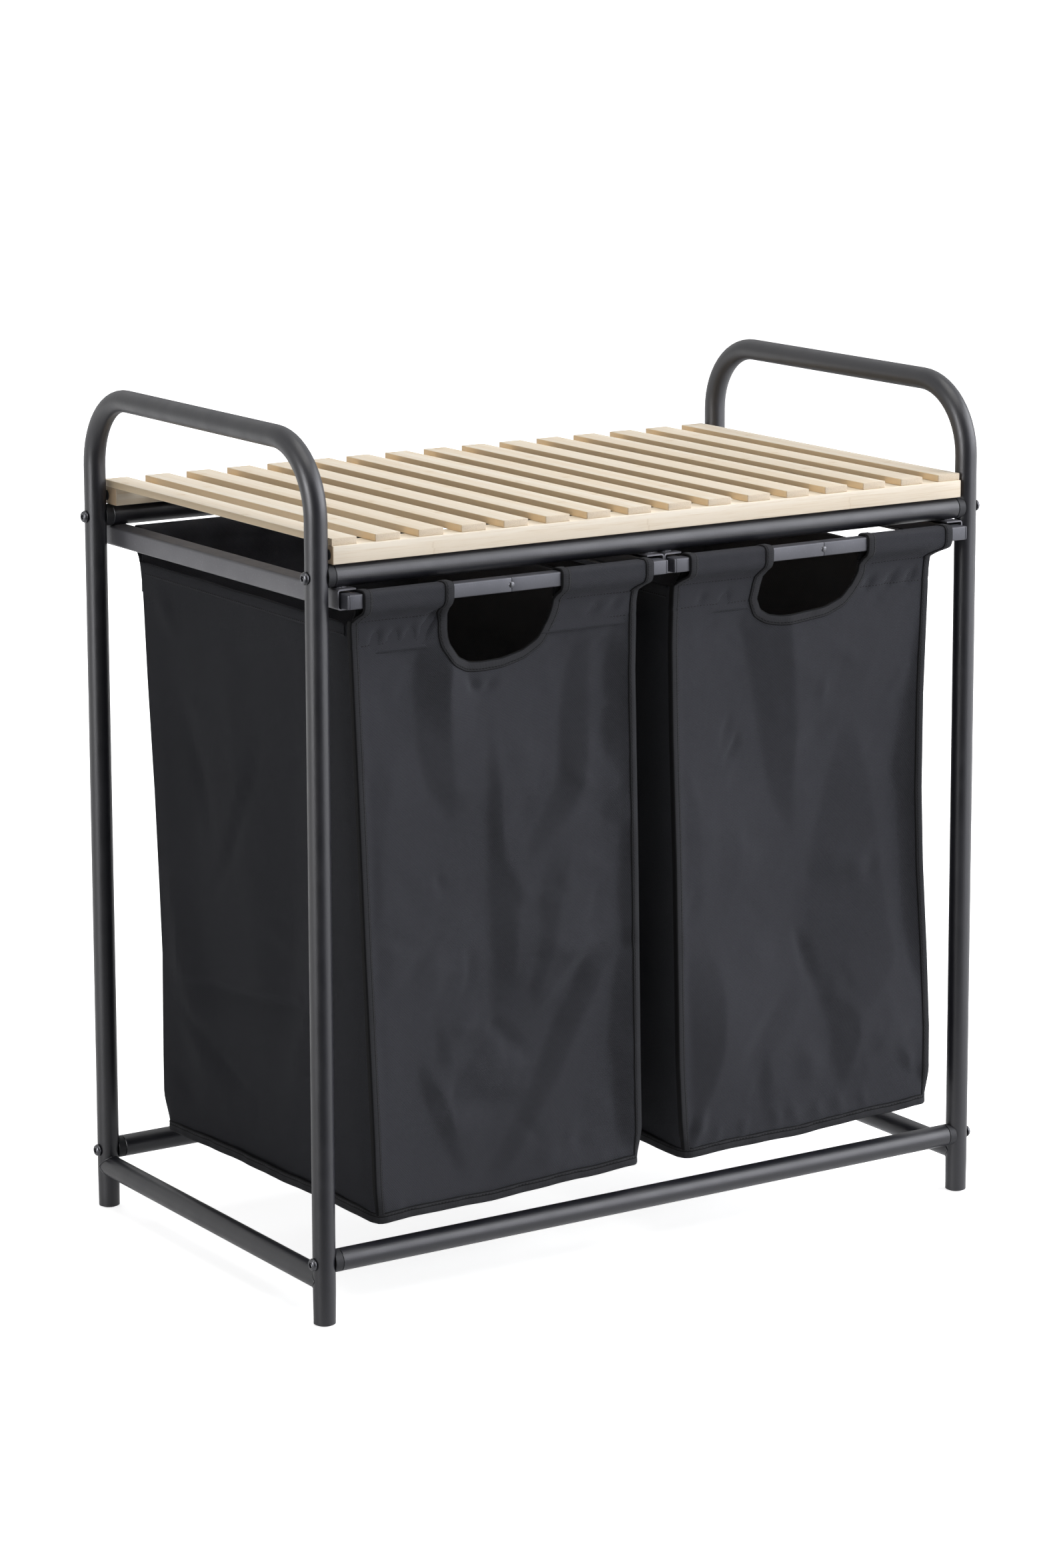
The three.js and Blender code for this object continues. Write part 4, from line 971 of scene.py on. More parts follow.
REAR_FOLDS = [
    [(-72, 550, 0, 26, 26), (-58, 470, -3.4, 44, 40), (-40, 380, -3.6, 44, 40), (-28, 320, 0, 24, 24)],
    [(0, 555, 0, 24, 24), (2, 440, 3.2, 46, 46), (0, 300, 4.4, 50, 40), (-4, 180, 3.2, 44, 40), (-2, 110, 0, 20, 20)],
    [(56, 540, 0, 22, 22), (68, 430, 3.2, 34, 40), (82, 320, 2.8, 34, 40), (88, 260, 0, 20, 20)],
    [(-96, 320, 0, 20, 20), (-74, 240, 3.4, 32, 30), (-50, 170, 2.8, 30, 26), (-38, 120, 0, 14, 14)],
    [(96, 280, 0, 18, 20), (78, 200, -3.0, 32, 32), (56, 120, 0, 16, 16)],
    [(-110, 140, 0, 8, 8), (-98, 112, 1.8, 11, 12), (-90, 94, 0.8, 8, 8)],
    [(110, 140, 0, 8, 8), (102, 112, 1.8, 11, 12), (96, 94, 0.8, 8, 8)],
    [(-20, 140, 0, 8, 8), (-12, 114, -1.6, 11, 12), (-8, 94, -0.8, 8, 8)],
    [(-118, 470, 0, 8, 8), (-96, 440, 1.4, 14, 14), (-70, 430, 0, 8, 8)],
]


def smooth(value):
    """Goes from nought to one with level ends."""
    value = np.clip(value, 0, 1)
    return value * value * (3 - 2 * value)


def between(first, last, share):
    """The value at a share of the way from the first to the last."""
    return first + (last - first) * share


def held(share, width):
    """Nought at both seams and one beyond a width of the panel from either."""
    return smooth(np.minimum(share, 1 - share) / width)


def groove(distance, row):
    """The pull of a stitch row on the cloth: one at the row, fading within a few millimetres."""
    return np.exp(-((distance - row) / 1.1) ** 2)


def normed(rows):
    """Rows divided by their sums."""
    return rows / rows.sum(1, keepdims=True)


def blurred(rows, reach, mode):
    """Rows averaged with their neighbours up to a reach; mode says what lies beyond both ends."""
    kernel = np.hanning(2 * reach + 3)[1:-1]
    kernel = kernel / kernel.sum()
    padded = np.pad(rows, ((reach, reach), (0, 0)), mode=mode)
    return np.stack([np.convolve(column, kernel, "valid") for column in padded.T], -1)


def crest(side, before, after):
    """Share of a crease's height at a place beside it: one at the crest, falling straight over the width before or
    after it, with the crest rounded."""
    return 1 - (np.sqrt(side**2 + 1.2) - 1.1) / np.where(side > 0, after, before)


def folds(across, up, table):
    """Sum of creases. Each crease is a line of points; the nearest place on it gives a height and two widths,
    and the cloth falls straight from that height to nothing over the width, with the crest and the foot rounded."""
    total = np.zeros(np.shape(across))
    for crease in table:
        crease = np.array(crease, float)
        nearest, height, share = np.full(total.shape, np.inf), 0.0, 0.0
        for start, stop in zip(crease[:-1], crease[1:]):
            dx, dz = stop[:2] - start[:2]
            t = np.clip(((across - start[0]) * dx + (up - start[1]) * dz) / (dx * dx + dz * dz), 0, 1)
            gap = np.hypot(across - start[0] - dx * t, up - start[1] - dz * t)
            right = ((across - start[0]) * dz - (up - start[1]) * dx) * (1 if dz >= 0 else -1) > 0
            tall, before, after = [between(start[i], stop[i], t) for i in (2, 3, 4)]
            closer = gap < nearest
            height = np.where(closer, tall, height)
            share = np.where(closer, crest(np.where(right, gap, -gap), before, after), share)
            nearest = np.minimum(gap, nearest)
        total += height * np.where(share > 0.2, share, np.clip(share + 0.2, 0, 1) ** 2 / 0.8)
    return total


def relief(table, left, right):
    """Heights of a panel whose strips lean: the slopes are laid on a grid of x and z, each row's mean slope is taken
    off so that both seams stay where they are, and the rows are summed from left to right and made smooth, the broad
    part more than the fine one up the panel. left and right give the seams."""
    x, z = GRID_X[None], GRID_Z
    slope = np.zeros((len(GRID_Z), len(GRID_X)))
    for strip in table:
        rows = np.array(strip, float)
        low, high = [np.interp(z, rows[:, 0], rows[:, i])[:, None] for i in (1, 2)]
        lean = np.interp(z, rows[:, 0], rows[:, 3], 0, 0)[:, None]
        slope += lean * smooth((x - low + 2.0) / 4.0) * smooth((high - x + 1.2) / 2.4)
    within = (x > left(z)[:, None]) & (x < right(z)[:, None])
    slope = np.where(within, slope, 0)
    slope -= within * (slope.sum(1, keepdims=True) / within.sum(1, keepdims=True))
    height = np.cumsum(slope, axis=1)
    near, far, tall = [
        normed(np.exp(-0.5 * ((grid[:, None] - grid[None]) / width) ** 2))
        for grid, width in ((GRID_Z, 2.5), (GRID_X, 16.0), (GRID_Z, 22.0))]
    broad = height @ far.T
    return near @ (height - broad) + tall @ broad


def crumple(across, up, seed, count, size):
    """Small creases strewn over a panel by a seeded chance: each a short straight ridge or dent."""
    chance = np.random.default_rng(seed)
    low, high = (across.min(), up.min()), (across.max(), up.max())
    total = np.zeros(np.shape(across))
    for _ in range(count):
        x, z = chance.uniform(low[0], high[0]), chance.uniform(low[1], min(high[1], 560))
        turn, reach = chance.uniform(0.2, 1.45) * chance.choice([-1, 1]), chance.uniform(6, 22)
        tall, before, after = chance.normal(0, size), chance.uniform(4, 14), chance.uniform(4, 14)
        dx, dz = math.cos(turn), math.sin(turn)
        along = (across - x) * dx + (up - z) * dz
        side = (across - x) * dz - (up - z) * dx
        total += tall * np.clip(crest(side, before, after), 0, 1) * np.clip(1.4 - np.abs(along) / reach, 0, 1)
    return total


def looked_up(height, across, up):
    """The height between four neighbours of the panel grid."""
    i = np.clip((across - GRID_X[0]) / (GRID_X[1] - GRID_X[0]), 0, len(GRID_X) - 1.001)
    j = np.clip((up - GRID_Z[0]) / (GRID_Z[1] - GRID_Z[0]), 0, len(GRID_Z) - 1.001)
    a, b = i.astype(int), j.astype(int)
    u, v = i - a, j - b
    low = height[b, a] * (1 - u) + height[b, a + 1] * u
    high = height[b + 1, a] * (1 - u) + height[b + 1, a + 1] * u
    return low * (1 - v) + high * v


def sleeve_loop(panel, face, way, clear, rise=0.0):
    """Up the panel, out to the face of the bar, over it, down behind it and back to the inside of the panel.
    Returns distance, y and z along that line, a smooth curve through the listed points; distance equals height on
    the panel."""
    t = 0.8 + clear
    out, back = face - way * t, face + way * (BAR_SIZE + t)
    inside = panel + way * 2.0
    points = np.array([
        (panel, LOOP_START), (panel, 300), (panel, 545), (panel, 566), (panel - way * 0.2, 578),
        (panel - way * 1.4, 584), (panel - way * 5.2, 588.6), (out + way * 2.6, 592.6), (out + way * 0.3, 596.6),
        (out, 600), (out, BAR_TOP - 2.0), (out + way * 0.9, BAR_TOP + 0.2 + rise * 0.5),
        (out + way * 3.0, BAR_TOP + 1.45 + rise), (face + way * 6.0, BAR_TOP + 1.55 + rise),
        (back - way * 3.0, BAR_TOP + 1.45 + rise), (back - way * 0.9, BAR_TOP + 0.2 + rise * 0.5),
        (back, BAR_TOP - 2.0), (back, BAR_BASE + 3.0), (back - way * 0.4, BAR_BASE - 1.0),
        (back - way * 0.2, BAR_BASE - 6.0), (inside + way * 0.6, 584.5), (inside, 579), (inside, 568), (inside, 556),
    ], float)
    fine = [points[0]]
    last = len(points) - 1
    h = np.linspace(0, 1, 9)[1:, None]
    for i in range(last):
        p0, p1, p2, p3 = points[max(i - 1, 0)], points[i], points[i + 1], points[min(i + 2, last)]
        limit = np.linalg.norm(p2 - p1)
        m1, m2 = [m * min(1, limit / (np.linalg.norm(m) + 1e-9)) for m in ((p2 - p0) / 2, (p3 - p1) / 2)]
        near = (2 * h**3 - 3 * h**2 + 1) * p1 + (h**3 - 2 * h**2 + h) * m1
        fine.append(near + (-2 * h**3 + 3 * h**2) * p2 + (h**3 - h**2) * m2)
    line = np.vstack(fine)
    return run_along(line) + LOOP_START, line


def on_loop(loop, distance):
    """Point and outward direction at a distance along a loop."""
    table, line = loop
    step = 0.6
    here, before, after = [
        [np.interp(distance + shift, table, line[:, i]) for i in (0, 1)] for shift in (0, -step, step)]
    dy, dz = after[0] - before[0], after[1] - before[1]
    size = np.hypot(dy, dz) + 1e-9
    return (*here, -dz / size, dy / size)


class Bag:
    """One sewn bag: functions that give points of its panels, in millimetres."""

    def __init__(self, side, depth):
        self.side, self.data, self.depth = side, CORNERS[side], depth
        self.centre = SIDES[side] * BIN_X
        self.front_loop = sleeve_loop(PANEL_Y, HOOP_FRONT, 1, 0.55)
        self.rear_loop = sleeve_loop(REAR_Y, HOOP_REAR, -1, 0.6, 3.0)
        strips = [
            [(z, low - self.centre, high - self.centre, lean) for z, low, high, lean in strip]
            for strip in STRIPS[side]]
        self.leans = relief(strips, lambda z: self.edges(z)[0], lambda z: self.edges(z)[1])
        self.crumples = crumple(*np.meshgrid(GRID_X, GRID_Z), 11 if side == "left" else 12, 130, 0.42)

    def edges(self, distance):
        """Left and right edge of the front panel at a distance up it: the corner lines, then the ends of the sleeve,
        drawn in a little on the flap behind the bar."""
        height = np.where(distance > FLAP_FROM, on_loop(self.front_loop, distance)[1], distance)
        share = smooth((height - BAG_HEM) / HEM_BLEND)
        inset = 2.2 * smooth((distance - INNER_FROM) / 10)
        left, right = [
            between(np.interp(height, *self.data[key]), end, share)
            for key, end in zip(("front_left", "front_right"), self.data["sleeve"])]
        return left + inset, right - inset

    def rear_edges(self, distance):
        """Left and right edge of the rear panel, which is symmetric."""
        left = between(np.interp(distance, *REAR_SIDE), REAR_SLEEVE_END, smooth((distance - BAG_HEM) / HEM_BLEND))
        return left, -left

    def cut_line(self):
        """Outline of the hand cut-out, made smooth, split into its left side, floor and right side."""
        x, z, first, last = self.data["cut"]
        fine = np.linspace(0, len(x) - 1, 281)
        blur = normed(np.exp(-0.5 * ((fine[:, None] - np.arange(len(x))[None]) / 0.42) ** 2))
        line = np.stack([blur @ np.array(x, float), blur @ np.array(z, float)])
        return line[:, fine <= first], line[:, (fine >= first) & (fine <= last)], line[:, fine >= last]

    def lift(self, across, y):
        """How far the hem of the floor hangs above its plane, by corner."""
        fl, fr, rr, rl = self.data["lift"]
        u = (across + 137) / 274
        v = np.clip((y + 193) / 335, 0, 1)
        sag = 2.2 * np.sin(np.clip(u, 0, 1) * math.pi) * (1 - v)
        return (1 - v) * between(fl, fr, u) + v * between(rl, rr, u) - sag

    def settle(self, points):
        """Lowers or raises the bottom of the bag by its lift, fading out with height."""
        share = (1 - smooth((points[..., 2] - BAG_BASE) / 110)) ** 1.2
        points[..., 2] += self.lift(points[..., 0] - self.centre, points[..., 1]) * share
        return points

    def round_off(self, points):
        """Shapes the bottom: each upright seam ends in a rounded corner, whose arc takes up the last stretch of both
        panels, the corners droop, and the lower edges waver."""
        x, y, z = points[..., 0] - self.centre, points[..., 1], points[..., 2]
        base = z - BAG_BASE - self.lift(x, y)
        low, near = 1 - smooth(base / 34), 1 - smooth(base / 40)
        radius, rear_droop = 12.0, 1.0
        out = points.copy()
        for seam, rear_seam, way, front_droop in zip(self.edges(z), self.rear_edges(z), (1, -1), self.data["droop"]):
            for edge, line, turn, droop in (
                (seam, PANEL_Y, 1, front_droop), (rear_seam, np.interp(z, *REAR_EDGE), -1, rear_droop),
            ):
                a, b = (x - edge) * way, (y - line) * turn
                along, across = np.maximum(a, b), np.minimum(a, b)
                angle = (1 - np.clip(along, 0, radius) / radius) * math.pi / 4
                inside = (along < radius) & (across > -4)
                ahead = np.where(inside, radius - radius * np.sin(angle) - np.clip(along, 0, radius), 0) * low
                inward = np.where(inside, radius - radius * np.cos(angle), 0) * low
                out[..., 0] += way * np.where(a >= b, ahead, inward)
                out[..., 1] += turn * np.where(a >= b, inward, ahead)
                out[..., 2] -= droop * near * np.exp(-((a / 9) ** 2) - (b / 24) ** 2)
        out[..., 2] += near * (0.5 * np.sin((x + 0.8 * y) / 19 + 1.0) + 0.25 * np.sin((x - y) / 8.3 + 2.0))
        return out

    def placed(self, across, spot, raised, rounded):
        """Points at a raise off the loop line, with the bottom of the bag settled and, if wanted, rounded off."""
        y, z, ny, nz = spot
        point = self.settle(np.stack([across + self.centre, y + ny * raised, z + nz * raised], -1))
        return self.round_off(point) if rounded else point

    def front(self, across, distance, raised=0.0, rounded=True):
        """Front panel and sleeve: the loop line at a distance, pushed out by folds, sag, stitch grooves, a raise."""
        left, right = self.edges(distance)
        u = np.clip((across - left) / (right - left), 0, 1)
        hold = held(u, 0.045)
        height = self.depth * (
            folds(across + self.centre, distance, FOLDS[self.side])
            + looked_up(self.leans, across, distance) + looked_up(self.crumples, across, distance))
        fall = smooth((distance - BAG_BASE) / 26)
        band = smooth((596 - distance) / 10)
        sag = -1.5 * np.sin(u * math.pi) * smooth((572 - distance) / 30) * smooth((distance - 90) / 120)
        push = (height * (0.15 + 0.85 * fall) * band + sag) * hold
        for row in STITCH_ROWS:
            push = push - 0.55 * groove(distance, row)
        push = push + np.exp(-((distance - sum(STITCH_ROWS) / 2) / 7.5) ** 2) * 0.8 * hold
        total = np.where(distance > INNER_FROM, raised, push + raised)
        return self.placed(across, on_loop(self.front_loop, distance), total, rounded)

    def front_normal(self, distance):
        """Outward direction of the sleeve and panel line."""
        ny, nz = on_loop(self.front_loop, distance)[2:]
        return np.stack([np.zeros_like(ny), ny, nz], -1)

    def rear(self, across, distance, raised=0.0, rounded=True):
        """Rear panel and sleeve; below the hem the loop slopes in with the rear edge line."""
        y, z, ny, nz = on_loop(self.rear_loop, distance)
        y = y + (np.interp(z, *REAR_EDGE) - REAR_Y) * (distance < INNER_FROM) * (z < 592)
        u = np.clip((across + 139) / 278, 0, 1)
        hold = held(u, 0.1)
        height = self.depth * folds(across, distance, REAR_FOLDS) * smooth((560 - distance) / 40)
        push = (height + 2.0 * np.sin(u * math.pi) * smooth((560 - distance) / 60)) * hold
        for row in STITCH_ROWS:
            push = push - 0.5 * groove(distance, row)
        total = np.where(distance > INNER_FROM, raised, push + raised)
        return self.placed(across, (y, z, ny, nz), total, rounded)


class HAMPER_OT_bags(bpy.types.Operator):
    """Sew the two bags: four panels and a floor in one shell, with the sleeves for the hoop"""
    bl_idname = "hamper.bags"
    bl_label = "Bags"

    def execute(self, context):
        for side in SIDES:
            make_bag(side, context.scene.hamper_bags)
        return {"FINISHED"}


def run_along(points):
    """Running length along a line of points."""
    return np.concatenate([[0], np.cumsum(np.linalg.norm(np.diff(points, axis=0), axis=1))])


def paired(first, second):
    """Two arrays of like shape as the two parts of one."""
    return np.stack(np.broadcast_arrays(first, second), -1)


def cut_side(distance, line_z, line_x, foot):
    """Edge of the opening at a distance up the panel; below its corner it runs on to the foot."""
    share = smooth((distance - BAG_BASE) / (line_z[0] - BAG_BASE))
    return np.where(distance < line_z[0], between(foot, line_x[0], share), np.interp(distance, line_z, line_x))


def make_bag(side, settings):
    """Lays the front round its opening in three blocks, then the rear, the sides and the floor on the same rows."""
    bag = Bag(side, settings.fold_depth)
    cut_left, cut_floor, cut_right = bag.cut_line()
    cut_left = cut_left[:, ::-1]
    for line in (cut_left, cut_right):
        line[1] = np.maximum.accumulate(line[1])
    # Rows: even up the panel, closer by the seams, then over the sleeve to the inner hem
    lower = np.concatenate([[BAG_BASE, 85.2, 87, 90], np.linspace(94, 520, 100), np.linspace(523, CUT_ROW, 10)])
    upper = np.concatenate([
        np.linspace(CUT_ROW, BAG_HEM, 17)[1:], np.linspace(583.2, 650, 38), np.linspace(653, 686, 6)])
    rows = np.concatenate([lower, upper])
    low = len(lower)
    # The rows near the cut-out bend to meet its corners
    bend = np.where(rows <= CUT_ROW, smooth((rows - (CUT_ROW - 95)) / 95), smooth((CUT_ROW + 30 - rows) / 30))
    hidden = np.minimum(on_loop(bag.front_loop, rows)[1], 597.0)
    behind = 1.4 * smooth((rows - INNER_FROM) / 8)
    share = np.linspace(0, 1, 35)[None]
    cuts, blocks = [], []
    for (line_x, line_z), foot, edge, way in zip((cut_left, cut_right), (-47.0, 44.0), bag.edges(rows), (-1, 1)):
        inner = rows + (line_z[0] - CUT_ROW) * bend
        cut = cut_side(np.where(rows > INNER_FROM, hidden, inner), line_z, line_x, foot) + way * behind
        ends = ((edge, rows), (cut, inner))[::-way]
        (near, near_row), (far, far_row) = [[part[:, None] for part in end] for end in ends]
        blocks.append((between(near, far, share), between(near_row, far_row, share)))
        cuts.append(cut[:low, None])
    wide = np.linspace(0, 1, 27)
    top_x, top_z = [np.interp(wide, np.linspace(0, 1, cut_floor.shape[1]), part) for part in cut_floor]
    follow = (rows[:low] / CUT_ROW)[:, None] ** 6
    even = between(cut_left[0, 0], cut_right[0, 0], wide)
    middle_x = between(*cuts, wide[None]) + (top_x - even)[None] * follow * bend[:low, None]
    middle_z = rows[:low, None] + (top_z - CUT_ROW)[None] * bend[:low, None]
    shape = Shape()
    for across, distance in (blocks[0], (middle_x, middle_z), blocks[1]):
        shape.grid(bag.front(across, distance), paired(across, distance))

    # Rear panel and sleeve share the columns of the front at the floor
    bottom = np.concatenate([blocks[0][0][0], middle_x[0][1:], blocks[1][0][0][1:]])
    spread = (bottom - bottom[0]) / (bottom[-1] - bottom[0])
    rear_left, rear_right = [edge[:, None] for edge in bag.rear_edges(rows)]
    rear_across = between(rear_left, rear_right, spread[None])
    rear_distance = np.broadcast_to(rows[:, None], rear_across.shape)
    rear_points = bag.rear(rear_across, rear_distance, rounded=False)
    shape.grid(bag.round_off(rear_points)[:, ::-1], paired(-rear_across, rear_distance)[:, ::-1])

    # Side panels span from the front corner line to the rear corner line up to the hem
    hem = np.concatenate([lower, upper[upper <= BAG_HEM + 0.01]])
    count, hem = len(hem), hem[:, None]
    v = np.linspace(0, 1, 37)
    hold = held(v, 0.09)[None]
    rise = smooth((hem - 95) / 60) * (0.45 + 0.55 * smooth((BAG_HEM - hem) / 60))
    belly = -3.2 * np.sin(v * math.pi)[None] * smooth((BAG_HEM - hem) / 200)
    seam = -0.5 * groove(hem, SIDE_STITCH)
    side_tops = []
    for way, column, (across, distance) in zip((-1, 1), (0, -1), blocks):
        front_edge = bag.front(across[:count, column], distance[:count, column], rounded=False)[:, None]
        panel = between(front_edge, rear_points[:count, None, column], v[None, :, None])
        dents = folds(panel[..., 1] * way * -SIDES[side], panel[..., 2], SIDE_FOLDS) * bag.depth
        panel[..., 0] += way * (dents * hold * rise + belly * hold + seam * hold)
        panel = bag.round_off(panel)
        side_tops.append((way, panel[-1].copy()))
        shape.grid(panel[:, ::way], paired(panel[..., 1] * way, hem)[:, ::way])

    # Floor: both bottom edges blended, with a slight sag
    front_row = bag.front(bottom, np.full(len(bottom), BAG_BASE), rounded=False)
    sheet = between(front_row[None], rear_points[0][None], v[:, None, None])
    sheet[..., 2] += 1.6 * (np.sin(v * math.pi)[:, None] * np.sin(spread * math.pi)[None])
    sheet = bag.round_off(sheet)
    shape.grid(sheet, sheet[..., :2])
    piece = shape.object(
        f"sewn_bag_{side}", finishes()["cloth"], f"{side}_bin", "bag_fabric", [f"{side}_bin_bag"], shell=True,
        angle=SEAM_ANGLE, merge=0.02)
    orient(piece)
    wall = piece.modifiers.new("Cloth thickness", "SOLIDIFY")
    wall.thickness, wall.offset, wall.use_even_offset = settings.thickness, -1, False
    foot = np.concatenate([sheet[0], sheet[1:, -1], sheet[-1, ::-1][1:], sheet[::-1, 0][1:]])
    trims(bag, settings, (cut_left, cut_floor, cut_right), foot, side_tops)


def orient(piece):
    """Turns every face of a joined shell the same way, so that the lowest face looks down."""
    work = bmesh.new()
    work.from_mesh(piece.data)
    bmesh.ops.recalc_face_normals(work, faces=work.faces)
    work.faces.ensure_lookup_table()
    if min(work.faces, key=lambda face: face.calc_center_median().z).normal.z > 0:
        bmesh.ops.reverse_faces(work, faces=work.faces)
    work.to_mesh(piece.data)
    work.free()
    piece.data.shade_smooth()
    piece.data.set_sharp_from_angle(angle=math.radians(SEAM_ANGLE))


def even_line(points, step):
    """Points at even steps along a polyline, with the running length."""
    length = run_along(points)
    want = np.linspace(0, length[-1], max(2, int(round(length[-1] / step)) + 1))
    return np.stack([np.interp(want, length, column) for column in points.T], -1), want


def unit(vectors):
    """Vectors brought to length one."""
    return vectors / np.linalg.norm(vectors, axis=1, keepdims=True)


def stitch_row(shape, line, normal, length, gap=0.7, thick=0.42, sink=0.12):
    """Short rounded threads in a row: a ring of six carried over five stations, thick in the middle, dipping at its
    ends."""
    normal = np.broadcast_to(normal, line.shape)
    points, run = even_line(line, length + gap)
    middles, along = (points[1:] + points[:-1]) / 2, unit(points[1:] - points[:-1])
    up = np.stack([np.interp((run[1:] + run[:-1]) / 2, run_along(line), column) for column in normal.T], -1)
    up = unit(up - (up * along).sum(1, keepdims=True) * along)
    side = np.cross(along, up)
    middles, along, up, side = [item[:, None, None] for item in (middles, along, up, side)]
    station = np.array([-1, -0.8, 0, 0.8, 1])[:, None, None] * length / 2
    radius = np.array([0, 0.75, 1, 0.75, 0])[:, None] * thick
    dip = np.array([-0.5, -0.25, 0.25, -0.25, -0.5])[:, None] * thick
    ring_up = radius * np.cos(circle(6)) + dip - sink
    ring_side = radius * np.sin(circle(6))
    shape.grid(middles + along * station + up * ring_up[..., None] + side * ring_side[..., None])


def trims(bag, settings, cuts, foot, hem_edges):
    """Binding tape along the open edges and seams, and the stitches."""
    width, length, thickness = [v / MM for v in (settings.tape_width, settings.stitch_length, settings.thickness)]
    tape, thread, hems = Shape(), Shape(), Shape()

    def fold_over(edge, inward, reach):
        """Tape folded over a free edge of the front: out along the face, round the edge, back behind it.
        edge is across and distance; inward points from the edge into the cloth."""
        off = np.array([1.0, 0.94, 0.7, 0.4, 0.12, 0.0, -0.045, -0.045, 0.0, 0.2, 0.6, 1.0]) * reach
        top = np.array([0.15, 0.75, 0.95, 0.95, 0.85, 0.6, 0.15, -0.5, -0.95, -1.25, -1.35, -1.0])
        across, distance = [edge[:, None, i] + inward[:, None, i] * off for i in (0, 1)]
        raised = np.broadcast_to(np.where(top > 0, top, top - thickness + 0.4), across.shape)
        tape.grid(bag.front(across, distance, raised), paired(run_along(edge)[:, None], 10 * np.abs(off) / reach))
        across, distance = (edge + inward * (reach - 2.2)).T
        stitch_row(thread, bag.front(across, distance, 0.95), bag.front_normal(distance), length)

    # Cut-out: from the back of the sleeve, over the bar, round the opening and back over the bar
    over = np.linspace(TAPE_START, TAPE_FACE, 40)
    left, floor, right = [line.T for line in cuts]
    left, right = [line[line[:, 1] < TAPE_FACE - 0.5] for line in (left[::-1], right)]
    line, _ = even_line(np.concatenate([
        paired(left[0, 0], over), left, floor[1:], right[1:], paired(right[-1, 0], over[::-1])]), 1.6)
    step = unit(blurred(unit(np.gradient(line, axis=0)), 3, "edge"))
    inward = np.stack([step[:, 1], -step[:, 0]], -1)
    if inward[len(inward) // 2, 1] > 0:
        inward = -inward
    fold_over(line, inward, width)

    # Ends of the front sleeve, down to the hem corner
    distance = np.concatenate([
        np.linspace(TAPE_START, TAPE_FACE, 36), np.linspace(TAPE_FACE - 1, BAG_HEM + 1.5, 14)])
    for edge, sign in zip(bag.edges(distance), (1, -1)):
        fold_over(paired(edge, distance), np.broadcast_to((sign, 0), (len(edge), 2)), width - 0.6)

    # Front corner seams: tape from the hem to the floor, standing slightly proud of the corner
    distance = np.linspace(BAG_HEM + 3.0, BAG_BASE + 1.0, 190)
    off = np.array([6.2, 5.9, 4.6, 2.6, 0.9, -0.3, -0.95, -0.9])
    lift = np.array([0.1, 0.7, 0.95, 0.95, 0.9, 0.7, 0.1, -0.9])
    for edge, sign in zip(bag.edges(np.minimum(distance, BAG_HEM)), (-1, 1)):
        points = bag.front(edge[:, None] - sign * off, *np.broadcast_arrays(distance[:, None], lift))
        back = points[:, -1:]
        sheet = np.concatenate([points, back + [0, 1.6, 0], back + [-sign * 0.25, 4.2, 0]], 1)
        tape.grid(sheet, paired(distance[:, None], TAPE_ACROSS))
        stitch_row(thread, bag.front(edge - sign * 4.3, distance, 0.9), [0.0, -1.0, 0.0], length)

    # Stitch rows across the flaps of the front sleeve and across the rear panel
    for row in STITCH_ROWS:
        ends = [edge[0] for edge in bag.edges(np.array([row]))]
        reach = [np.interp(row, line[1], line[0]) for line in (cuts[0], cuts[2])]
        for start, stop in (
            (ends[0] + width, reach[0] - width * 1.15 - 1), (reach[1] + width * 1.4 + 2, ends[1] - width),
        ):
            across = np.linspace(start, stop, 60)
            distance = row + 0.25 * np.sin(across / 11)
            stitch_row(thread, bag.front(across, distance, 0.05), bag.front_normal(distance), length, sink=0.0)
        line = bag.rear(np.linspace(-134, 134, 120), np.full(120, row), 0.05)
        stitch_row(thread, line, [0.0, 1.0, 0.0], length, sink=0.0)

    # Binding rolled round the bottom seam: a folded section carried round the foot of the bag
    foot, run = even_line(foot, 3.0)
    step = np.roll(foot, -1, 0) - np.roll(foot, 1, 0)
    step[[0, -1]] = foot[1] - foot[-2]
    outward = np.stack([step[:, 1], -step[:, 0], np.zeros(len(step))], -1)
    outward = blurred(outward[:-1], 2, "wrap")
    outward = unit(np.concatenate([outward, outward[:1]]))
    if outward[len(outward) // 8] @ [0, -1, 0] < 0:
        outward = -outward
    pucker = 0.35 * np.sin(run / 5.3) * np.sin(run / 31.0) + 0.2 * np.sin(run / 2.9 + 1.0)
    section = np.array([
        (0.15, 8.2), (0.8, 7.9), (1.15, 6.0), (1.35, 3.0), (1.35, 0.6), (0.7, -0.9), (-1.2, -1.35), (-4.5, -1.3),
        (-7.2, -1.1), (-7.6, -0.2)])
    roll = foot[:, None] + outward[:, None] * section[None, :, :1]
    roll[..., 2] += section[None, :, 1]
    roll += outward[:, None] * (pucker[:, None] * np.array([0, 0.4, 1, 1, 0.8, 0.3, 0, 0, 0, 0]))[..., None]
    tape.grid(roll, paired(run[:, None], TAPE_ACROSS))
    stitch_row(thread, foot + outward * 1.2 + [0, 0, 6.2], outward, length)

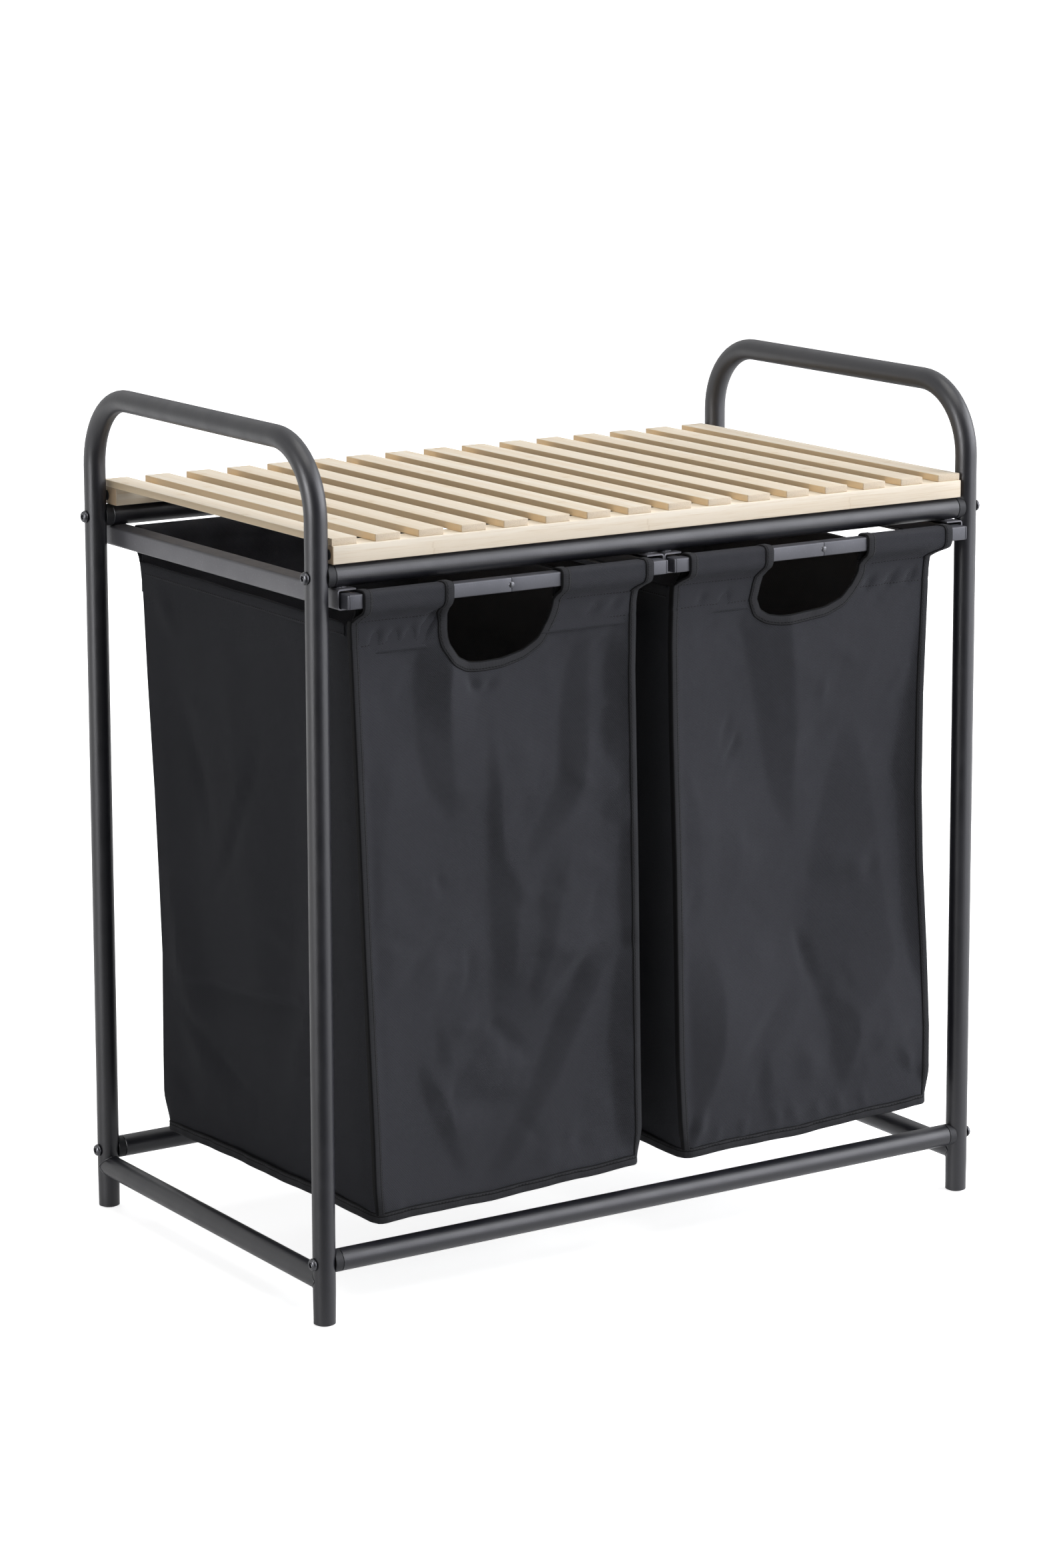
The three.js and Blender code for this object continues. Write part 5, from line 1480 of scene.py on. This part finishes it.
    # Side hems: cloth folded over at the top of each side panel, with its row of stitches
    section = np.array([
        (0.1, -10.6), (0.7, -10.2), (0.75, -5.0), (0.8, -1.0), (0.35, 0.35), (-0.8, 0.6), (-1.7, 0.1), (-2.0, -1.2),
        (-1.9, -6.0), (-1.8, -10.5)])
    for way, edge in hem_edges:
        edge = edge[1:-1]
        sheet = np.repeat(edge[:, None], len(section), 1)
        sheet[..., 0] += way * section[:, 0]
        sheet[..., 2] += section[:, 1] + 0.25 * np.sin(run_along(edge) / 17.0)[:, None]
        hems.grid(sheet, paired(sheet[..., 1] * way, sheet[..., 2]))
        stitch_row(thread, edge + [way * 0.85, 0, -8.6], [float(way), 0.0, 0.0], length)
    look = finishes()
    for shape, name, finish, angle in (
        (hems, "side_hems", "cloth", 70), (tape, "binding_tape", "tape", 70), (thread, "stitches", "thread", 60),
    ):
        shape.object(
            f"{name}_{bag.side}", look[finish], f"{bag.side}_bin", "bag_fabric", shell=True, angle=angle)


class HAMPER_OT_stage(bpy.types.Operator):
    """Set the pale floor, the white surroundings, the soft lights with two cards for the gloss, and the camera"""
    bl_idname = "hamper.stage"
    bl_label = "Stage"

    def execute(self, context):
        self.floor(context.scene)
        self.room(context.scene)
        self.lamps(context.scene)
        self.camera(context.scene)
        context.scene.view_settings.view_transform = "Standard"
        return {"FINISHED"}

    def floor(self, scene):
        """A disc that keeps the shadow. It glows for the camera and for gloss, and for gloss it is darker in front of
        the hamper, towards the camera, and beyond it."""
        rings = np.array([0, 0.6, 1.2, 3, 8, 20, 60])[:, None]
        angle = circle(64)
        points = np.stack([rings * np.cos(angle), rings * np.sin(angle), np.full((7, 65), -0.0001)], -1)
        index = np.arange(7 * 65).reshape(7, 65)
        quads = np.stack([index[:-1, :-1], index[1:, :-1], index[1:, 1:], index[:-1, 1:]], -1)
        mesh = bpy.data.meshes.new("pale_floor")
        mesh.from_pydata(points.reshape(-1, 3).tolist(), [], quads.reshape(-1, 4).tolist())
        floor = bpy.data.objects.new("pale_floor", mesh)
        scene.collection.objects.link(floor)
        pale = (0.86, 0.86, 0.86)
        f = Finish("Pale floor", pale, 0.9, Specular_IOR_Level=0.1)
        path = f.node("ShaderNodeLightPath").outputs
        x, y = f.axes(f.place)[:2]
        away = f.sum("SQRT", f.sum("ADD", f.sum("POWER", x, 2.0), f.sum("POWER", y, 2.0)))
        ahead = f.sum("SUBTRACT", f.sum("MULTIPLY", x, -0.54), f.sum("MULTIPLY", y, 0.84))
        level = f.sum("DIVIDE", ahead, f.sum("ADD", away, 0.01))
        ahead = f.sum("MAXIMUM", f.span(level, 0.5, 0.9), f.span(level, -0.75, -0.95, 0.0, 0.75))
        shade = f.sum("MULTIPLY", f.sum("MULTIPLY", ahead, f.span(away, 0.3, 0.7)), path["Is Glossy Ray"])
        f.colour(f.mix(shade, pale, (0.05, 0.05, 0.05)))
        seen = f.sum("MAXIMUM", path["Is Camera Ray"], path["Is Glossy Ray"])
        near = f.sum("MULTIPLY", path["Is Camera Ray"], 0.85)
        bright = f.sum("MULTIPLY", seen, f.sum("MAXIMUM", f.span(away, 0.7, 2.4, 0.55, 1.0), near))
        strength = f.sum("MULTIPLY", bright, f.sum("SUBTRACT", 1.0, f.sum("MULTIPLY", shade, 0.92)))
        glow = f.node("ShaderNodeEmission", {"Color": (1, 1, 1, 1), "Strength": strength})
        both = f.node("ShaderNodeAddShader", {0: f.shader.outputs[0], 1: glow.outputs[0]})
        f.feed(f.tree.nodes["Material Output"].inputs["Surface"], both.outputs[0])
        mesh.materials.append(f.material)

    def room(self, scene):
        """White for the camera, weak light for all else; for gloss darker near the camera and beyond the hamper."""
        world = bpy.data.worlds.new("White room")
        scene.world = world
        world.use_nodes = True
        w = Nodes(world.node_tree)
        path = w.node("ShaderNodeLightPath").outputs
        seen = w.sum("ADD", path["Is Camera Ray"], path["Is Glossy Ray"])
        level = w.span(w.sum("MAXIMUM", seen, path["Is Transmission Ray"]), 0.0, 1.0, scene.hamper_stage.sky, 1.0)
        dims = []
        for direction, start, stop, least in (
            ((-0.50, -0.85, 0.15), 0.5, 0.92, 0.15), ((0.54, 0.83, -0.1), 0.8, 0.97, 0.3),
        ):
            inputs = {0: w.coordinates["Generated"], 1: direction}
            towards = w.node("ShaderNodeVectorMath", inputs, operation="DOT_PRODUCT").outputs["Value"]
            dims.append(w.span(towards, start, stop, 1.0, least, interpolation_type="SMOOTHSTEP"))
        shown = w.sum("MAXIMUM", w.sum("MINIMUM", *dims), path["Is Camera Ray"])
        back = w.tree.nodes["Background"].inputs
        back["Color"].default_value = (1, 1, 1, 1)
        w.feed(back["Strength"], w.sum("MULTIPLY", level, shown))

    def lamps(self, scene):
        """Soft rectangular lamps aimed at the hamper. The two reflectors are seen by gloss alone, and the back light
        never by gloss."""
        s = scene.hamper_stage
        aim, cool = (0, 0, 0.35), (0.945, 0.955, 1.0)
        for name, power, place, wide, tall, tint in (
            ("Key light", s.key_power, (4.6, -2.3, 2.4), 4.4, 3.6, cool),
            ("Fill light", s.fill_power, (2.2, -3.9, 4.0), 1.8, 1.8, cool),
            ("Top light", s.top_power, (0.2, -0.6, 4.2), 3.0, 2.4, (1.0, 0.985, 0.95)),
            ("Front reflector", s.reflectors, (2.25, -3.75, 1.25), 1.3, 2.4, (0.91, 0.915, 1.0)),
            ("Left reflector", s.reflectors * 3.2, (-4.1, -0.7, 1.35), 1.3, 2.4, (0.98, 0.975, 1.0)),
            ("Back light", s.back_power, (0.6, 4.6, 2.6), 3.0, 2.4, cool),
        ):
            lamp = bpy.data.lights.new(name, "AREA")
            lamp.energy, lamp.shape, lamp.size, lamp.size_y, lamp.color = power, "RECTANGLE", wide, tall, tint
            holder = bpy.data.objects.new(name, lamp)
            holder.location = place
            holder.rotation_euler = Vector(np.array(aim) - place).to_track_quat("-Z", "Y").to_euler()
            holder.visible_camera = False
            holder.visible_diffuse = "reflector" not in name
            holder.visible_glossy = name != "Back light"
            scene.collection.objects.link(holder)

    def camera(self, scene):
        """Camera at the place and turn fitted to the photo."""
        lens = bpy.data.cameras.new("Camera")
        lens.lens, lens.sensor_width, lens.sensor_fit = scene.hamper_stage.lens, 36.0, "AUTO"
        lens.clip_start, lens.clip_end, lens.shift_y = 0.05, 200, -0.1173
        yaw, pitch, roll = [math.radians(a) for a in (32.898, 10.066, 0.182)]
        forward = np.array([math.sin(yaw) * math.cos(pitch), math.cos(yaw) * math.cos(pitch), -math.sin(pitch)])
        flat_right = np.array([math.cos(yaw), -math.sin(yaw), 0])
        flat_down = np.cross(forward, flat_right)
        right = math.cos(roll) * flat_right + math.sin(roll) * flat_down
        down = -math.sin(roll) * flat_right + math.cos(roll) * flat_down
        turn = np.eye(4)
        turn[:3] = np.stack([right, -down, -forward, np.array([-2079.7, -3191.85, 1220.3]) * MM], -1)
        eye = bpy.data.objects.new("Camera", lens)
        eye.matrix_world = Matrix(turn.tolist())
        scene.collection.objects.link(eye)
        scene.camera = eye


class HAMPER_PT_panel(bpy.types.Panel):
    """Lists the pieces of the hamper"""
    bl_label = "Laundry hamper"
    bl_idname = "HAMPER_PT_panel"
    bl_space_type = "VIEW_3D"
    bl_region_type = "UI"
    bl_category = "Hamper"

    def draw(self, context):
        scene, layout = context.scene, self.layout
        for group in (scene.hamper_colours, scene.hamper_bags, scene.hamper_stage):
            box = layout.box()
            for key in group.__annotations__:
                box.prop(group, key)
        for operator in OPERATORS:
            layout.operator(operator.bl_idname)


OPERATORS = (
    HAMPER_OT_side_frames,
    HAMPER_OT_foot_plugs,
    HAMPER_OT_cross_tubes,
    HAMPER_OT_bamboo_top,
    HAMPER_OT_rails,
    HAMPER_OT_hoops,
    HAMPER_OT_bags,
    HAMPER_OT_stage,
)
GROUPS = {"hamper_colours": HamperColours, "hamper_bags": HamperBags, "hamper_stage": HamperStage}


def register():
    for group in GROUPS.values():
        bpy.utils.register_class(group)
    for operator in OPERATORS:
        bpy.utils.register_class(operator)
    bpy.utils.register_class(HAMPER_PT_panel)
    for name, group in GROUPS.items():
        setattr(bpy.types.Scene, name, PointerProperty(type=group))


def unregister():
    for name in GROUPS:
        delattr(bpy.types.Scene, name)
    bpy.utils.unregister_class(HAMPER_PT_panel)
    for item in (*reversed(OPERATORS), *reversed(GROUPS.values())):
        bpy.utils.unregister_class(item)


def main():
    register()
    bpy.ops.hamper.stage()
    bpy.ops.hamper.side_frames()
    bpy.ops.hamper.foot_plugs()
    bpy.ops.hamper.cross_tubes()
    bpy.ops.hamper.bamboo_top()
    bpy.ops.hamper.rails()
    bpy.ops.hamper.hoops()
    bpy.ops.hamper.bags()


if __name__ == "__main__":
    main()
